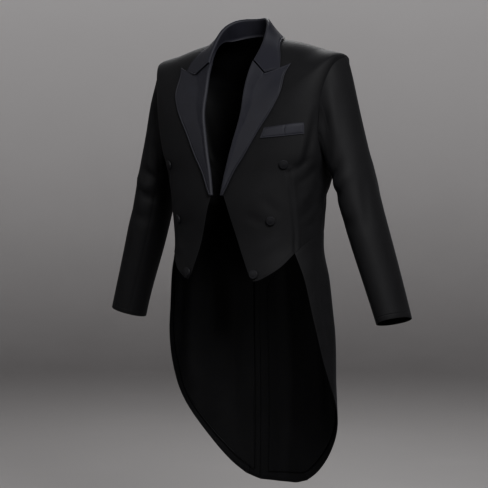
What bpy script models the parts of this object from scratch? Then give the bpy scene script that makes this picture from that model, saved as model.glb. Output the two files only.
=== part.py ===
"""White tie tailcoat, worn: fronts, side bodies, backs, tails, sleeves, collar, lapels and trim.

Metres, +Z up. The coat faces -Y and its own left side is +X. The origin is the middle of the neck
opening, level with the neck points. Cloth lies on a ring surface: an angle runs round the body from
the front centre (0) by the left side (90) to the centre back (180), and a drop runs down it.
"""

import math

import bpy
import numpy as np

# Cloth
WALL = 0.0020
LINING_WALL = 0.0010
HALF_SEAM = 0.00015
LAYER_GAP = 0.0008
LINING_GAP = 0.0024

# Rings of the body, one row each: drop, heights at front, side and back, half width,
# reach to the front and to the back, and how square the front and the back are
RINGS = np.array((
    (0.00, -0.060, -0.005, 0.004, 0.065, 0.078, 0.034, 2.0, 2.0),
    (0.05, -0.095, -0.0170, -0.028, 0.126, 0.096, 0.074, 2.1, 2.1),
    (0.10, -0.130, -0.033, -0.070, 0.180, 0.106, 0.097, 2.2, 2.2),
    (0.15, -0.162, -0.050, -0.110, 0.230, 0.113, 0.110, 2.6, 2.4),
    (0.20, -0.195, -0.115, -0.155, 0.222, 0.119, 0.117, 3.0, 2.6),
    (0.26, -0.250, -0.258, -0.250, 0.204, 0.128, 0.118, 2.9, 2.5),
    (0.30, -0.300, -0.300, -0.300, 0.190, 0.133, 0.114, 2.6, 2.3),
    (0.36, -0.360, -0.360, -0.360, 0.178, 0.138, 0.104, 2.5, 2.1),
    (0.45, -0.450, -0.450, -0.450, 0.174, 0.131, 0.096, 2.4, 2.0),
    (0.52, -0.520, -0.520, -0.520, 0.185, 0.135, 0.101, 2.4, 2.0),
    (0.59, -0.590, -0.590, -0.590, 0.192, 0.137, 0.106, 2.4, 2.0),
    (0.65, -0.650, -0.650, -0.650, 0.199, 0.137, 0.110, 2.4, 2.0),
    (0.74, -0.740, -0.740, -0.740, 0.2035, 0.136, 0.115, 2.3, 2.0),
    (0.86, -0.860, -0.860, -0.860, 0.208, 0.130, 0.118, 2.2, 2.0),
    (1.02, -1.020, -1.020, -1.020, 0.204, 0.122, 0.112, 2.0, 2.0),
))

# Places on the body, as (angle in degrees, drop in metres)
NECK_POINT = (92.0, 0.0)
SHOULDER_TIP = (95.0, 0.150)
NAPE = (180.0, 0.0)
GORGE_START = (32.0, 0.031)
NOTCH = (33.0, 0.075)
PEAK_TIP = (52.5, 0.095)
COLLAR_END_ON_PEAK = 0.58
NECKLINE = (GORGE_START, (50.0, 0.014), (72.0, 0.004), NECK_POINT)
ROLL_LINE = (GORGE_START, (25.5, 0.045), (20.5, 0.065), (12.0, 0.1125), (5.2, 0.2075), (3.8, 0.275),
             (2.2, 0.345))
FRONT_EDGE = ((2.2, 0.345), (9.0, 0.420), (19.0, 0.514))
FRONT_POINT = ((19.0, 0.514), (22.0, 0.526), (26.5, 0.524))
CUTAWAY = ((26.5, 0.524), (43.0, 0.499), (59.7, 0.466))
LAPEL_EDGE = (PEAK_TIP, (47.0, 0.100), (33.7, 0.134), (20.5, 0.196), (16.0, 0.224), (10.5, 0.275),
              (7.4, 0.297), (4.4, 0.333), (3.8, 0.341))
WAIST_FRONT = ((59.7, 0.466), (73.0, 0.445), (87.5, 0.430), (97.0, 0.425))
WAIST_BACK = ((97.0, 0.425), (125.0, 0.418), (162.0, 0.415))
PLEAT_LINE = ((162.0, 0.415), (160.0, 0.600), (158.0, 0.800), (157.0, 0.985))
CENTRE_BACK = (NAPE, (180.0, 0.415), (180.0, 0.995))
NECK_BACK = (140.0, 0.0)
SIDE_SEAM_MIDDLE = (98.0, 0.340)
BACK_SEAM_MIDDLE = ((124.0, 0.270), (147.0, 0.340))
TAIL_FRONT = ((59.7, 0.466), (67.0, 0.524), (71.5, 0.588), (75.5, 0.645), (79.0, 0.690),
              (86.0, 0.740), (94.8, 0.785), (104.0, 0.820), (116.0, 0.860), (128.0, 0.900))
TAIL_CORNER = ((128.0, 0.900), (139.0, 0.938), (148.0, 0.965), (157.0, 0.985))
HEM_INNER_DROP = 0.990
HEM_BACK = ((168.0, 0.993), (157.0, 0.985))

# Armhole, as (angle, drop) from the shoulder tip down the front, under the arm and up the back
ARMHOLE = (SHOULDER_TIP, (85.0, 0.160), (76.0, 0.172), (70.5, 0.192), (68.3, 0.214), (69.8, 0.234),
           (75.0, 0.250), (85.0, 0.262), (97.0, 0.263), (107.0, 0.252), (112.0, 0.232),
           (112.0, 0.205), (107.0, 0.180), (101.0, 0.162), SHOULDER_TIP)
ARMHOLE_STEPS = 24
SIDE_SEAM_STEP = 13
BACK_SEAM_STEP = 18

# Steps along the seams that neighbouring pieces share
SHOULDER_STEPS = 5
SIDE_STEPS = 6
BACK_SEAM_STEPS = 6
PLEAT_STEPS = 11
WAIST_FRONT_STEPS = 5
CUTAWAY_STEPS = 5
FRONT_EDGE_STEPS = 7
BACK_ACROSS = 6
VENT_ACROSS = 3
LINING_ACROSS = 9
LAPEL_TOP_STEPS = (2, 3)
BELOW_CROWDING = 1.35

# Vent of the left back: how far it runs under the right one, and how deep it lies
VENT_TOP = 0.474
VENT_FULL = 0.515
VENT_SINK = (0.438, 0.473)
VENT_ANGLE = 13.0
VENT_DEPTH = 0.0034
VENT_STEP_ANGLE = 9.0

# Lapel and collar
ROLL_RADIUS = 0.0035
ROLL_PULL = 0.0018
ROLL_FOOT = 0.0011
PEAK_GAP = 0.0004
LAPEL_LIFT = 0.0018
LAPEL_SPRING = 0.0042
SPRING_LENGTH = 0.020
LAPEL_CURL = (-90.0, -140.0, 180.0, 140.0)
COLLAR_CURL = (180.0, 125.0, 55.0, 0.0)
# Shares down the leaf, where along them the notch lies, and where its sag starts along the collar
LEAF_SHARES = (0.22, 0.48, 0.74, 1.0)
NOTCH_SHARE = 0.42
SAG_START = 0.72
# Crest of the collar's fold, from the nape to the front: x, y, z
FOLD_LINE = ((0.000, 0.019, 0.040), (0.025, 0.012, 0.041), (0.038, 0.001, 0.038), (0.048, -0.012, 0.031),
             (0.056, -0.026, 0.020), (0.0600, -0.041, 0.001), (0.0608, -0.0555, -0.023),
             (0.0592, -0.0702, -0.0428))
# Outer edge of the leaf, from the nape to the front, on the body
LEAF_EDGE = ((180.0, 0.011), (150.0, 0.010), (120.0, 0.011), (98.0, 0.014), (84.0, 0.018),
             (72.0, 0.025), (62.0, 0.039), (54.5, 0.057))
SEAT_GAP = 0.0012
COLLAR_STEPS = 13

# Sleeve: a row for each place on the arm's axis: height, out, back, half width, half depth
ARM = np.array((
    (-0.300, 0.2505, 0.002, 0.0420, 0.0585),
    (-0.372, 0.2722, 0.004, 0.0425, 0.0570),
    (-0.445, 0.2935, 0.009, 0.0420, 0.0550),
    (-0.530, 0.3215, 0.011, 0.0390, 0.0510),
    (-0.612, 0.3480, 0.012, 0.0358, 0.0475),
))
LOWER_HANG = {"left": -0.004, "right": 0.006}
CUFF_RISE_OUT = 0.30
CUFF_DROP_BACK = 0.10
UNDERARM_GAP = 0.0012
HEAD_SPRING = 0.10
CAP_LEAVE = (1.2, 0.25)
CAP_ARRIVE = (1.05, 0.15)
CAP_STEPS = 6
ARM_STEPS = 5
UNDER_SLEEVE = (9, 17)

# Trim
BUTTONS = {"front_button_top": (42.0, 0.281), "front_button_middle": (38.0, 0.3975),
           "front_button_low": (23.2, 0.511)}
BACK_BUTTON = (160.0, 0.432)
BUTTON_RADIUS = 0.0100
BUTTON_HEIGHT = 0.0052
BUTTON_SEAT = 0.0005
BUTTON_SIDES = 14
# Shares of the radius and of the height, from the base to the crown
BUTTON_PROFILE = ((0.70, 0.0), (0.95, 0.16), (1.0, 0.42), (0.88, 0.72), (0.55, 0.94), (0.0, 1.0))
WELT = ((19.7, 0.216), (53.0, 0.226), (54.7, 0.2375), (18.4, 0.236))
WELT_WALL = 0.0016

# Tail linings: how far inside the tail's edges they end, and places of their top
LINING_INSET = 0.018
LINING_REACH = 0.160
LINING_CENTRE_GAP = 4.5
LINING_CORNER_DROP = 0.004
LINING_CORNER_TURN = 2.0
LINING_HEM_DROP = 0.993
LINING_TOP = ((98.0, 0.440), (150.0, 0.430))
LINING_TOP_END = 174.0
LINING_SIDE_DROPS = (0.500, 0.560)

WOOL = ("wool", (0.011, 0.011, 0.012), 0.85)
SATIN = ("satin", (0.020, 0.019, 0.026), 0.38)
LINING = ("lining", (0.006, 0.006, 0.006), 0.60)


def unit(vectors):
    return vectors / np.maximum(np.linalg.norm(vectors, axis=-1, keepdims=True), 1e-12)


def monotone(x, xs, ys):
    """A smooth curve through the points (xs, ys) that never overshoots them."""
    widths = np.diff(xs)
    slopes = np.diff(ys) / widths
    tangents = np.concatenate((slopes[:1], np.zeros(len(xs) - 2), slopes[-1:]))
    product = slopes[1:] * slopes[:-1]
    total = np.where(product > 0, slopes[1:] + slopes[:-1], 1.0)
    tangents[1:-1] = np.where(product > 0, 2 * product / total, 0.0)
    x = np.clip(x, xs[0], xs[-1])
    row = np.clip(np.searchsorted(xs, x, side="right") - 1, 0, len(xs) - 2)
    t = (x - xs[row]) / widths[row]
    return ((1 + 2 * t) * (1 - t) ** 2 * ys[row] + t * (1 - t) ** 2 * widths[row] * tangents[row]
            + t * t * (3 - 2 * t) * ys[row + 1] + t * t * (t - 1) * widths[row] * tangents[row + 1])


def body(places):
    """Points of the cloth's outer face at places, an array of (angle, drop)."""
    angle, drop = places[..., 0], places[..., 1]
    front_z, side_z, back_z, width, front_y, back_y, front_n, back_n = (
        monotone(drop, RINGS[:, 0], RINGS[:, column]) for column in range(1, 9))
    sine, cosine = np.sin(np.radians(angle)), np.cos(np.radians(angle))
    ahead = cosine > 0
    power = 2 / np.where(ahead, front_n, back_n)
    middle_z = np.where(ahead, front_z, back_z)
    x = width * np.sign(sine) * np.abs(sine) ** power
    y = np.where(ahead, -front_y, back_y) * np.abs(cosine) ** power
    return np.stack((x, y, middle_z + (side_z - middle_z) * sine ** 2), -1)


def body_normals(places):
    """Directions straight out of the cloth at places."""
    turn, fall = np.array((0.4, 0.0)), np.array((0.0, 0.002))
    higher = places - fall
    higher[..., 1] = np.maximum(higher[..., 1], 0.0)
    around = body(places + turn) - body(places - turn)
    down = body(places + fall) - body(higher)
    return unit(np.cross(down, around))


def places_along(corners, steps, crowding=1.0):
    """Places spaced along a smooth line through the corners, by length on the cloth.

    They are even, or closer together near the first corner with a crowding above 1.
    """
    corners = np.array(corners, float)
    rough = np.linalg.norm(np.diff(body(corners), axis=0), axis=1)
    knots = np.concatenate(((0.0,), np.cumsum(np.maximum(rough, 1e-6))))
    fine = np.linspace(0, knots[-1], 40 * len(corners))
    line = np.stack([monotone(fine, knots, corners[:, axis]) for axis in (0, 1)], -1)
    lengths = np.concatenate(((0.0,), np.cumsum(np.linalg.norm(np.diff(body(line), axis=0), axis=1))))
    wanted = lengths[-1] * np.linspace(0, 1, steps + 1) ** crowding
    return np.stack([np.interp(wanted, lengths, line[:, axis]) for axis in (0, 1)], -1)


def joined(*lines):
    """Lines end to end, with each shared corner once."""
    return np.concatenate([line if index == 0 else line[1:] for index, line in enumerate(lines)])


def patch(top, bottom, inner, outer):
    """Grid of places between four sides: rows run down, columns run from inner to outer."""
    down = np.linspace(0, 1, len(inner))[:, None, None]
    over = np.linspace(0, 1, len(top))[None, :, None]
    sides = (1 - over) * inner[:, None] + over * outer[:, None]
    ends = (1 - down) * top[None] + down * bottom[None]
    corners = ((1 - down) * ((1 - over) * top[0] + over * top[-1])
               + down * ((1 - over) * bottom[0] + over * bottom[-1]))
    return sides + ends - corners


def square_to(line, normals, towards):
    """Directions in the cloth, square to a line in it, on the side of the points towards."""
    across = unit(np.cross(normals, np.gradient(line, axis=0)))
    return across * np.sign((across * (towards - line)).sum(axis=-1, keepdims=True))


def pulled_back(points, normals, gaps):
    """The grid with its four edges (top, bottom, inner, outer) drawn in by the gaps."""
    moved = points.copy()
    moved[0] += gaps[0] * square_to(points[0], normals[0], points[1])
    moved[-1] += gaps[1] * square_to(points[-1], normals[-1], points[-2])
    moved[:, 0] += gaps[2] * square_to(points[:, 0], normals[:, 0], points[:, 1])
    moved[:, -1] += gaps[3] * square_to(points[:, -1], normals[:, -1], points[:, -2])
    return moved


def grid_normals(points):
    """Normals of a grid of points, from its own rows and columns."""
    return unit(np.cross(np.gradient(points, axis=0), np.gradient(points, axis=1)))


def material_of(finish):
    name, colour, roughness = finish
    material = bpy.data.materials.get(name) or bpy.data.materials.new(name)
    material.use_nodes = True
    shader = material.node_tree.nodes["Principled BSDF"]
    shader.inputs["Base Color"].default_value = (*colour, 1.0)
    shader.inputs["Roughness"].default_value = roughness
    return material


def add_object(name, points, faces, finish):
    """One named object, with its faces turned outwards."""
    triangles = np.array([(face[0], face[k], face[k + 1]) for face in faces for k in range(1, len(face) - 1)])
    corners = points[triangles]
    volume = np.einsum("ij,ij->i", corners[:, 0], np.cross(corners[:, 1], corners[:, 2])).sum()
    if volume < 0:
        faces = [tuple(reversed(face)) for face in faces]
    mesh = bpy.data.meshes.new(name)
    mesh.from_pydata([tuple(point) for point in points], [], faces)
    mesh.materials.append(material_of(finish))
    mesh.shade_smooth()
    mesh.set_sharp_from_angle(angle=math.radians(40))
    part = bpy.data.objects.new(name, mesh)
    bpy.context.scene.collection.objects.link(part)
    return part


def add_wall(name, outer, inner, finish, ring=False):
    """A closed wall between two grids. With ring, the columns meet round a tube."""
    rows, columns = outer.shape[:2]
    spans = columns if ring else columns - 1
    index = np.arange(rows * columns).reshape(rows, columns)
    below = index + rows * columns
    faces = []
    for row in range(rows - 1):
        for column in range(spans):
            beside = (column + 1) % columns
            a, b, c, d = index[row, column], index[row, beside], index[row + 1, beside], index[row + 1, column]
            for corners in ((a, b, c), (a, c, d)):
                faces.append(corners)
                faces.append(tuple(below.flat[corner] for corner in reversed(corners)))
    for column in range(spans):
        beside = (column + 1) % columns
        faces.append((index[0, beside], index[0, column], below[0, column], below[0, beside]))
        faces.append((index[-1, column], index[-1, beside], below[-1, beside], below[-1, column]))
    if not ring:
        for row in range(rows - 1):
            faces.append((index[row, 0], index[row + 1, 0], below[row + 1, 0], below[row, 0]))
            faces.append((index[row + 1, -1], index[row, -1], below[row, -1], below[row + 1, -1]))
    faces = [tuple(int(corner) for corner in face) for face in faces]
    return add_object(name, np.concatenate((outer.reshape(-1, 3), inner.reshape(-1, 3))), faces, finish)


def mirrored(points, side):
    return points * np.array((1.0 if side == "left" else -1.0, 1.0, 1.0))


def add_panel(name, side, grid, gaps, finish=WOOL, depth=0.0, wall=WALL):
    """A panel on the body surface, its outer face the given depth inside it."""
    normals = body_normals(grid)
    depth = np.broadcast_to(np.asarray(depth, float)[..., None], (*grid.shape[:2], 1))
    surface = pulled_back(body(grid), normals, gaps)
    outer, inner = surface - normals * depth, surface - normals * (depth + wall)
    return add_wall(f"{name}_{side}", mirrored(outer, side), mirrored(inner, side), finish)


def seam_lines():
    """The places of every seam that two pieces share, by name."""
    hole = places_along(ARMHOLE, ARMHOLE_STEPS)
    side_top, back_top = hole[SIDE_SEAM_STEP], hole[BACK_SEAM_STEP]
    waist_back_steps = BACK_SEAM_STEP - SIDE_SEAM_STEP
    return {
        "armhole": hole,
        "shoulder": places_along((NECK_POINT, SHOULDER_TIP), SHOULDER_STEPS),
        "side": places_along((side_top, SIDE_SEAM_MIDDLE, WAIST_FRONT[-1]), SIDE_STEPS),
        "back": places_along((back_top, *BACK_SEAM_MIDDLE, WAIST_BACK[-1]), BACK_SEAM_STEPS),
        "waist_front": places_along(WAIST_FRONT, WAIST_FRONT_STEPS),
        "waist_back": places_along(WAIST_BACK, waist_back_steps),
        "pleat": places_along(PLEAT_LINE, PLEAT_STEPS, BELOW_CROWDING),
    }


def forepart_grid(seams):
    """Front panel: neckline, shoulder, armhole and side seam round to the cutaway and front edge."""
    outer = joined(seams["shoulder"], seams["armhole"][:SIDE_SEAM_STEP + 1], seams["side"])
    edge = joined(places_along(FRONT_EDGE, FRONT_EDGE_STEPS - 1), places_along(FRONT_POINT[:2], 1))
    inner = joined(places_along(ROLL_LINE, len(outer) - 1 - FRONT_EDGE_STEPS), edge)
    cutaway = joined(places_along(FRONT_POINT[1:], 1), places_along(CUTAWAY, CUTAWAY_STEPS - 1))
    bottom = joined(cutaway, seams["waist_front"])
    return patch(places_along(NECKLINE, len(bottom) - 1), bottom, inner, outer)


def side_body_grid(seams):
    top = seams["armhole"][SIDE_SEAM_STEP:BACK_SEAM_STEP + 1]
    return patch(top, seams["waist_back"], seams["side"], seams["back"])


def back_grid(seams, vented):
    """Back panel with its tail strip. A vented one runs on past the centre below the waist."""
    outer = joined(seams["shoulder"], seams["armhole"][:BACK_SEAM_STEP - 1:-1], seams["back"], seams["pleat"])
    steps = len(outer) - 1
    below = places_along(CENTRE_BACK[1:], PLEAT_STEPS, BELOW_CROWDING)
    if vented:
        below[:, 0] += VENT_ANGLE * np.clip((below[:, 1] - VENT_TOP) / (VENT_FULL - VENT_TOP), 0, 1)
    inner = joined(places_along(CENTRE_BACK[:2], steps - PLEAT_STEPS), below)
    across = BACK_ACROSS + (VENT_ACROSS if vented else 0)
    hem = places_along(((float(inner[-1, 0]), HEM_INNER_DROP), *HEM_BACK), across)
    return patch(places_along((NAPE, NECK_BACK, NECK_POINT), across), hem, inner, outer)


def vent_depth(grid):
    """How far inside the body surface the left back lies, to run under the right one."""
    past = np.clip((grid[..., 0] - 180.0 + VENT_STEP_ANGLE) / VENT_STEP_ANGLE, 0, 1)
    low = np.clip((grid[..., 1] - VENT_SINK[0]) / (VENT_SINK[1] - VENT_SINK[0]), 0, 1)
    ease = past * past * (3 - 2 * past) * low * low * (3 - 2 * low)
    return VENT_DEPTH * ease


def tail_grid(seams):
    """Tail below the waist seam, with its long curved front edge and rounded corner."""
    top = joined(seams["waist_front"], seams["waist_back"])
    return patch(top, places_along(TAIL_CORNER, len(top) - 1), places_along(TAIL_FRONT, PLEAT_STEPS, BELOW_CROWDING),
                 seams["pleat"])


def lining_grid(vented):
    """Plain inside of one tail, held back from its edges."""
    def drawn_in(corners, turn, rise):
        return [(angle + turn, drop - rise) for angle, drop in corners]
    turn = math.degrees(LINING_INSET / LINING_REACH)
    end = 180.0 + (VENT_ANGLE - turn if vented else -VENT_ANGLE - LINING_CENTRE_GAP)
    top_end = min(end, LINING_TOP_END)
    front = drawn_in(TAIL_FRONT, turn, 0.0)
    front[0] = (front[0][0], front[0][1] + LINING_CORNER_DROP)
    corner = (end, LINING_HEM_DROP - LINING_INSET)
    hem = [front[-1], *drawn_in(TAIL_CORNER[1:], LINING_CORNER_TURN, LINING_INSET), corner]
    top = places_along((front[0], *LINING_TOP, (top_end, LINING_TOP[-1][1])), LINING_ACROSS)
    below_top, above_corner = LINING_SIDE_DROPS
    side = places_along(((top_end, LINING_TOP[-1][1]), (top_end, below_top), (end, above_corner), corner), PLEAT_STEPS)
    return patch(top, places_along(hem, LINING_ACROSS), places_along(front, PLEAT_STEPS), side)


def body_panels(seams):
    seam, free = HALF_SEAM, 0.0
    for side in ("left", "right"):
        vented = side == "left"
        add_panel("forepart", side, forepart_grid(seams), (seam, seam, ROLL_PULL, seam))
        add_panel("side_body", side, side_body_grid(seams), (seam, seam, seam, seam))
        back = back_grid(seams, vented)
        add_panel("back", side, back, (seam, free, seam, seam), depth=vent_depth(back) if vented else 0.0)
        add_panel("tail", side, tail_grid(seams), (seam, free, free, seam))
        lining = lining_grid(vented)
        depth = WALL + LINING_GAP + (vent_depth(lining) if vented else 0.0)
        add_panel("tail_lining", side, lining, (free, free, free, free), LINING, depth, LINING_WALL)


def arm_ring(height, turns):
    """Points round the sleeve at a height on the arm. Turn 0 is outside, a quarter turn is behind."""
    out, back, half_width, half_depth = (monotone(-height, -ARM[:, 0], ARM[:, column]) for column in range(1, 5))
    x = out + half_width * np.cos(2 * np.pi * turns)
    y = back + half_depth * np.sin(2 * np.pi * turns)
    return np.stack(np.broadcast_arrays(x, y, height), -1)


def sleeve_points(seams, longer):
    """Rows of points from the armhole to the cuff: a sprung cap, then rings down the arm."""
    hole = seams["armhole"][:-1]
    turns = -np.arange(len(hole)) / len(hole)
    start = body(hole)
    inward = unit(start.mean(axis=0) - start)
    under = np.clip(-np.cos(2 * np.pi * turns), 0, 1)[:, None]
    normals = body_normals(hole)
    start = start + 2 * HALF_SEAM * inward * (1 - under) + normals * UNDERARM_GAP * np.sqrt(under)
    top_z = ARM[0, 0] + CUFF_RISE_OUT * ARM[0, 3] * np.cos(2 * np.pi * turns)
    target = arm_ring(top_z, turns)
    axis = unit(np.array((ARM[1, 1] - ARM[0, 1], 0.0, ARM[1, 0] - ARM[0, 0])))
    reach = np.linalg.norm(target - start, axis=1, keepdims=True)
    along_arm, off_cloth = CAP_LEAVE
    outward = unit(np.array((1.0, 0.0, 0.0)) * (1 - under) + axis * under * along_arm + normals * off_cloth)
    leave = outward * reach * (HEAD_SPRING + (1 - HEAD_SPRING) * under)
    arrive = axis * reach * (CAP_ARRIVE[0] - CAP_ARRIVE[1] * under)
    t = np.linspace(0, 1, CAP_STEPS + 1)[:, None, None]
    cap = ((1 + 2 * t) * (1 - t) ** 2 * start + t * (1 - t) ** 2 * leave
           + t * t * (3 - 2 * t) * target + t * t * (t - 1) * arrive)
    cuff_z = (ARM[-1, 0] - longer + CUFF_RISE_OUT * ARM[-1, 3] * np.cos(2 * np.pi * turns)
              - CUFF_DROP_BACK * ARM[-1, 4] * np.sin(2 * np.pi * turns))
    share = np.linspace(0, 1, ARM_STEPS + 1)[1:, None]
    lower = arm_ring(top_z + (cuff_z - top_z) * share, turns[None])
    return np.concatenate((cap, lower))


def sleeve(seams, side):
    """A two-piece sleeve: the upper and under halves meet at a front and a back seam."""
    points = sleeve_points(seams, LOWER_HANG[side])
    closed = np.concatenate((points[:, -1:], points, points[:, :1]), axis=1)
    normals = unit(np.cross(np.gradient(closed, axis=0), np.gradient(closed, axis=1)))[:, 1:-1]
    centre = points.mean(axis=1, keepdims=True)
    normals *= np.sign((normals * (points - centre)).sum(axis=(1, 2), keepdims=True))
    first, last = UNDER_SLEEVE
    count = points.shape[1]
    columns = {"under_sleeve": np.arange(first, last + 1), "top_sleeve": np.arange(last, first + count + 1) % count}
    for name, chosen in columns.items():
        surface = pulled_back(points[:, chosen], normals[:, chosen], (0.0, 0.0, HALF_SEAM, HALF_SEAM))
        inner = surface - normals[:, chosen] * WALL
        add_wall(f"{name}_{side}", mirrored(surface, side), mirrored(inner, side), WOOL)


def sprung(distance):
    """Height of a lapel's or leaf's middle over the front, from its distance to the roll."""
    return LAPEL_LIFT + LAPEL_SPRING * np.exp(-distance / SPRING_LENGTH)


def lapels():
    """Satin lapels: a small roll at the roll line, then a leaf that lies along the front."""
    rows = SHOULDER_STEPS + SIDE_SEAM_STEP + SIDE_STEPS - FRONT_EDGE_STEPS
    roll = places_along(ROLL_LINE, rows)
    gorge_steps, peak_steps = LAPEL_TOP_STEPS
    top = joined(places_along((GORGE_START, NOTCH), gorge_steps), places_along((NOTCH, PEAK_TIP), peak_steps))
    edge = places_along(LAPEL_EDGE, rows)
    grid = patch(top, places_along((ROLL_LINE[-1], LAPEL_EDGE[-1]), len(top) - 1), roll, edge)
    surface, normals = body(grid), body_normals(grid)
    surface = pulled_back(surface, normals, (PEAK_GAP, 0.0, 0.0, 0.0))
    over = square_to(surface[:, 0], normals[:, 0], surface[:, 1])[:, None]
    lift = normals[:, :1]
    distance = np.linalg.norm(surface - surface[:, :1], axis=-1, keepdims=True)
    leaf = surface + normals * sprung(distance)
    turns = np.radians(np.array(LAPEL_CURL))[None, :, None]
    centre_height = LAPEL_LIFT + LAPEL_SPRING - ROLL_RADIUS
    curl = (surface[:, :1] + over * ROLL_RADIUS * np.cos(turns) + lift * (centre_height + ROLL_RADIUS * np.sin(turns)))
    foot = surface[:, :1] + over * ROLL_FOOT + lift * (centre_height - ROLL_RADIUS)
    middle = np.concatenate((foot, curl, leaf), axis=1)
    for side in ("left", "right"):
        half = grid_normals(middle) * WALL / 2
        add_wall(f"lapel_{side}", mirrored(middle + half, side), mirrored(middle - half, side), SATIN)


def nearest_places(points, guess):
    """Places on the body nearest to points, by a few steps of least squares from a guess."""
    places = guess.copy()
    for _ in range(6):
        base = body(places)
        by_turn = (body(places + (0.2, 0.0)) - base) / 0.2
        by_fall = (body(places + (0.0, 0.001)) - base) / 0.001
        off = points - base
        tt, tf, ff = (by_turn ** 2).sum(-1), (by_turn * by_fall).sum(-1), (by_fall ** 2).sum(-1)
        t, f = (by_turn * off).sum(-1), (by_fall * off).sum(-1)
        scale = tt * ff - tf ** 2
        turn, fall = (ff * t - tf * f) / scale, (tt * f - tf * t) / scale
        places = places + np.stack((np.clip(turn, -8, 8), np.clip(fall, -0.02, 0.02)), -1)
        places[..., 1] = np.clip(places[..., 1], 0.0, 1.0)
    return places


def lifted(points, guess, least):
    """Points moved straight out where they lie closer than least over the body."""
    places = nearest_places(points, guess)
    normals = body_normals(places)
    height = ((points - body(places)) * normals).sum(-1, keepdims=True)
    return points + normals * np.maximum(least - height, 0)


def collar():
    """Stand up from the neck seam, a small fold, and a leaf down to its edge on the shoulders."""
    end = np.array(NOTCH) + COLLAR_END_ON_PEAK * (np.array(PEAK_TIP) - np.array(NOTCH))
    share = np.linspace(0, 1, COLLAR_STEPS + 1)
    seat = places_along((NAPE, NECK_BACK, *NECKLINE[::-1]), COLLAR_STEPS)
    edge = places_along((*LEAF_EDGE, tuple(end)), COLLAR_STEPS)
    front_crest = body(np.array(GORGE_START)) + body_normals(np.array(GORGE_START)) * (LAPEL_LIFT + LAPEL_SPRING)
    crest_points = np.concatenate((np.array(FOLD_LINE), front_crest[None]))
    knots = np.concatenate(((0.0,), np.cumsum(np.linalg.norm(np.diff(crest_points, axis=0), axis=1))))
    knots /= knots[-1]
    crest = np.stack([monotone(share, knots, crest_points[:, axis]) for axis in range(3)], -1)
    seat_line = unit(np.gradient(body(seat), axis=0))
    inward = unit(np.cross(seat_line, body_normals(seat)))
    inward *= np.sign((inward * (body(seat).mean(axis=0) * (0, 1, 0) - body(seat))).sum(-1, keepdims=True))
    foot = body(seat) + inward * (WALL / 2 + SEAT_GAP)
    rim = body(edge) + body_normals(edge) * LAPEL_LIFT
    along = unit(np.gradient(crest, axis=0))
    up = crest - (foot + rim) / 2
    up = unit(up - (up * along).sum(-1, keepdims=True) * along)
    over = unit(np.cross(along, up))
    over *= np.sign((over * (rim - foot)).sum(-1, keepdims=True))
    centre = crest - up * ROLL_RADIUS
    turns = np.radians(np.array(COLLAR_CURL))[None, :, None]
    fold = centre[:, None] + ROLL_RADIUS * (over[:, None] * np.cos(turns) + up[:, None] * np.sin(turns))
    stand = foot[:, None] + (fold[:, :1] - foot[:, None]) * np.array((0.0, 0.5))[None, :, None]
    drop = np.array(LEAF_SHARES)
    leaf = fold[:, -1:] + (rim[:, None] - fold[:, -1:]) * drop[None, :, None]
    dip = np.minimum(drop / NOTCH_SHARE, (1 - drop) / (1 - NOTCH_SHARE))
    ramp = np.clip((share - SAG_START) / (1 - SAG_START), 0, 1) ** 2
    start, stop = body(np.array(GORGE_START)), body(end)
    sag = body(np.array(NOTCH)) - (start + (stop - start) * NOTCH_SHARE)
    leaf = leaf + (ramp[:, None] * dip[None, :])[..., None] * sag
    guess = seat[:, None] + (edge - seat)[:, None] * drop[None, :, None]
    leaf = lifted(leaf, guess, LAPEL_LIFT)
    half = np.concatenate((stand, fold, leaf), axis=1)
    half[-1] += PEAK_GAP * unit(half[-2] - half[-1])
    full = np.concatenate((mirrored(half[:0:-1], "right"), half))
    normals = grid_normals(full) * WALL / 2
    add_wall("collar", full + normals, full - normals, SATIN)


def breast_welt():
    """Satin welt of the left breast pocket, a thin strip on the front."""
    top = places_along(WELT[:2], 8)
    bottom = places_along((WELT[3], WELT[2]), 8)
    grid = patch(top, bottom, places_along((WELT[0], WELT[3]), 2), places_along((WELT[1], WELT[2]), 2))
    surface, normals = body(grid), body_normals(grid)
    outer = surface + normals * (LAYER_GAP + WELT_WALL)
    add_wall("breast_welt", outer, surface + normals * LAYER_GAP, SATIN)


def add_button(name, place, side):
    """A covered button: a low dome turned about the cloth's normal."""
    place = np.array(place)
    centre, normal = mirrored(body(place), side), mirrored(body_normals(place), side)
    across = unit(np.cross(normal, np.array((0.0, 0.0, 1.0))))
    up = np.cross(normal, across)
    turns = 2 * np.pi * np.arange(BUTTON_SIDES) / BUTTON_SIDES
    base = centre + normal * BUTTON_SEAT
    rings = [base + normal * BUTTON_HEIGHT * height
             + BUTTON_RADIUS * radius * (across * np.cos(turns)[:, None] + up * np.sin(turns)[:, None])
             for radius, height in BUTTON_PROFILE[:-1]]
    points = np.concatenate((*rings, (base + normal * BUTTON_HEIGHT)[None]))
    faces = [tuple(range(BUTTON_SIDES))]
    for ring in range(len(rings) - 1):
        for step in range(BUTTON_SIDES):
            first, second = ring * BUTTON_SIDES + step, ring * BUTTON_SIDES + (step + 1) % BUTTON_SIDES
            faces.append((second, first, first + BUTTON_SIDES, second + BUTTON_SIDES))
    top_ring = (len(rings) - 1) * BUTTON_SIDES
    faces += [(top_ring + (step + 1) % BUTTON_SIDES, top_ring + step, len(points) - 1)
              for step in range(BUTTON_SIDES)]
    add_object(f"{name}_{side}", points, faces, SATIN)


def buttons():
    for side in ("left", "right"):
        for name, place in BUTTONS.items():
            add_button(name, place, side)
        add_button("back_button", BACK_BUTTON, side)


for old in list(bpy.data.objects):
    bpy.data.objects.remove(old)
SEAMS = seam_lines()
body_panels(SEAMS)
for SIDE in ("left", "right"):
    sleeve(SEAMS, SIDE)
lapels()
collar()
breast_welt()
buttons()
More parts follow.
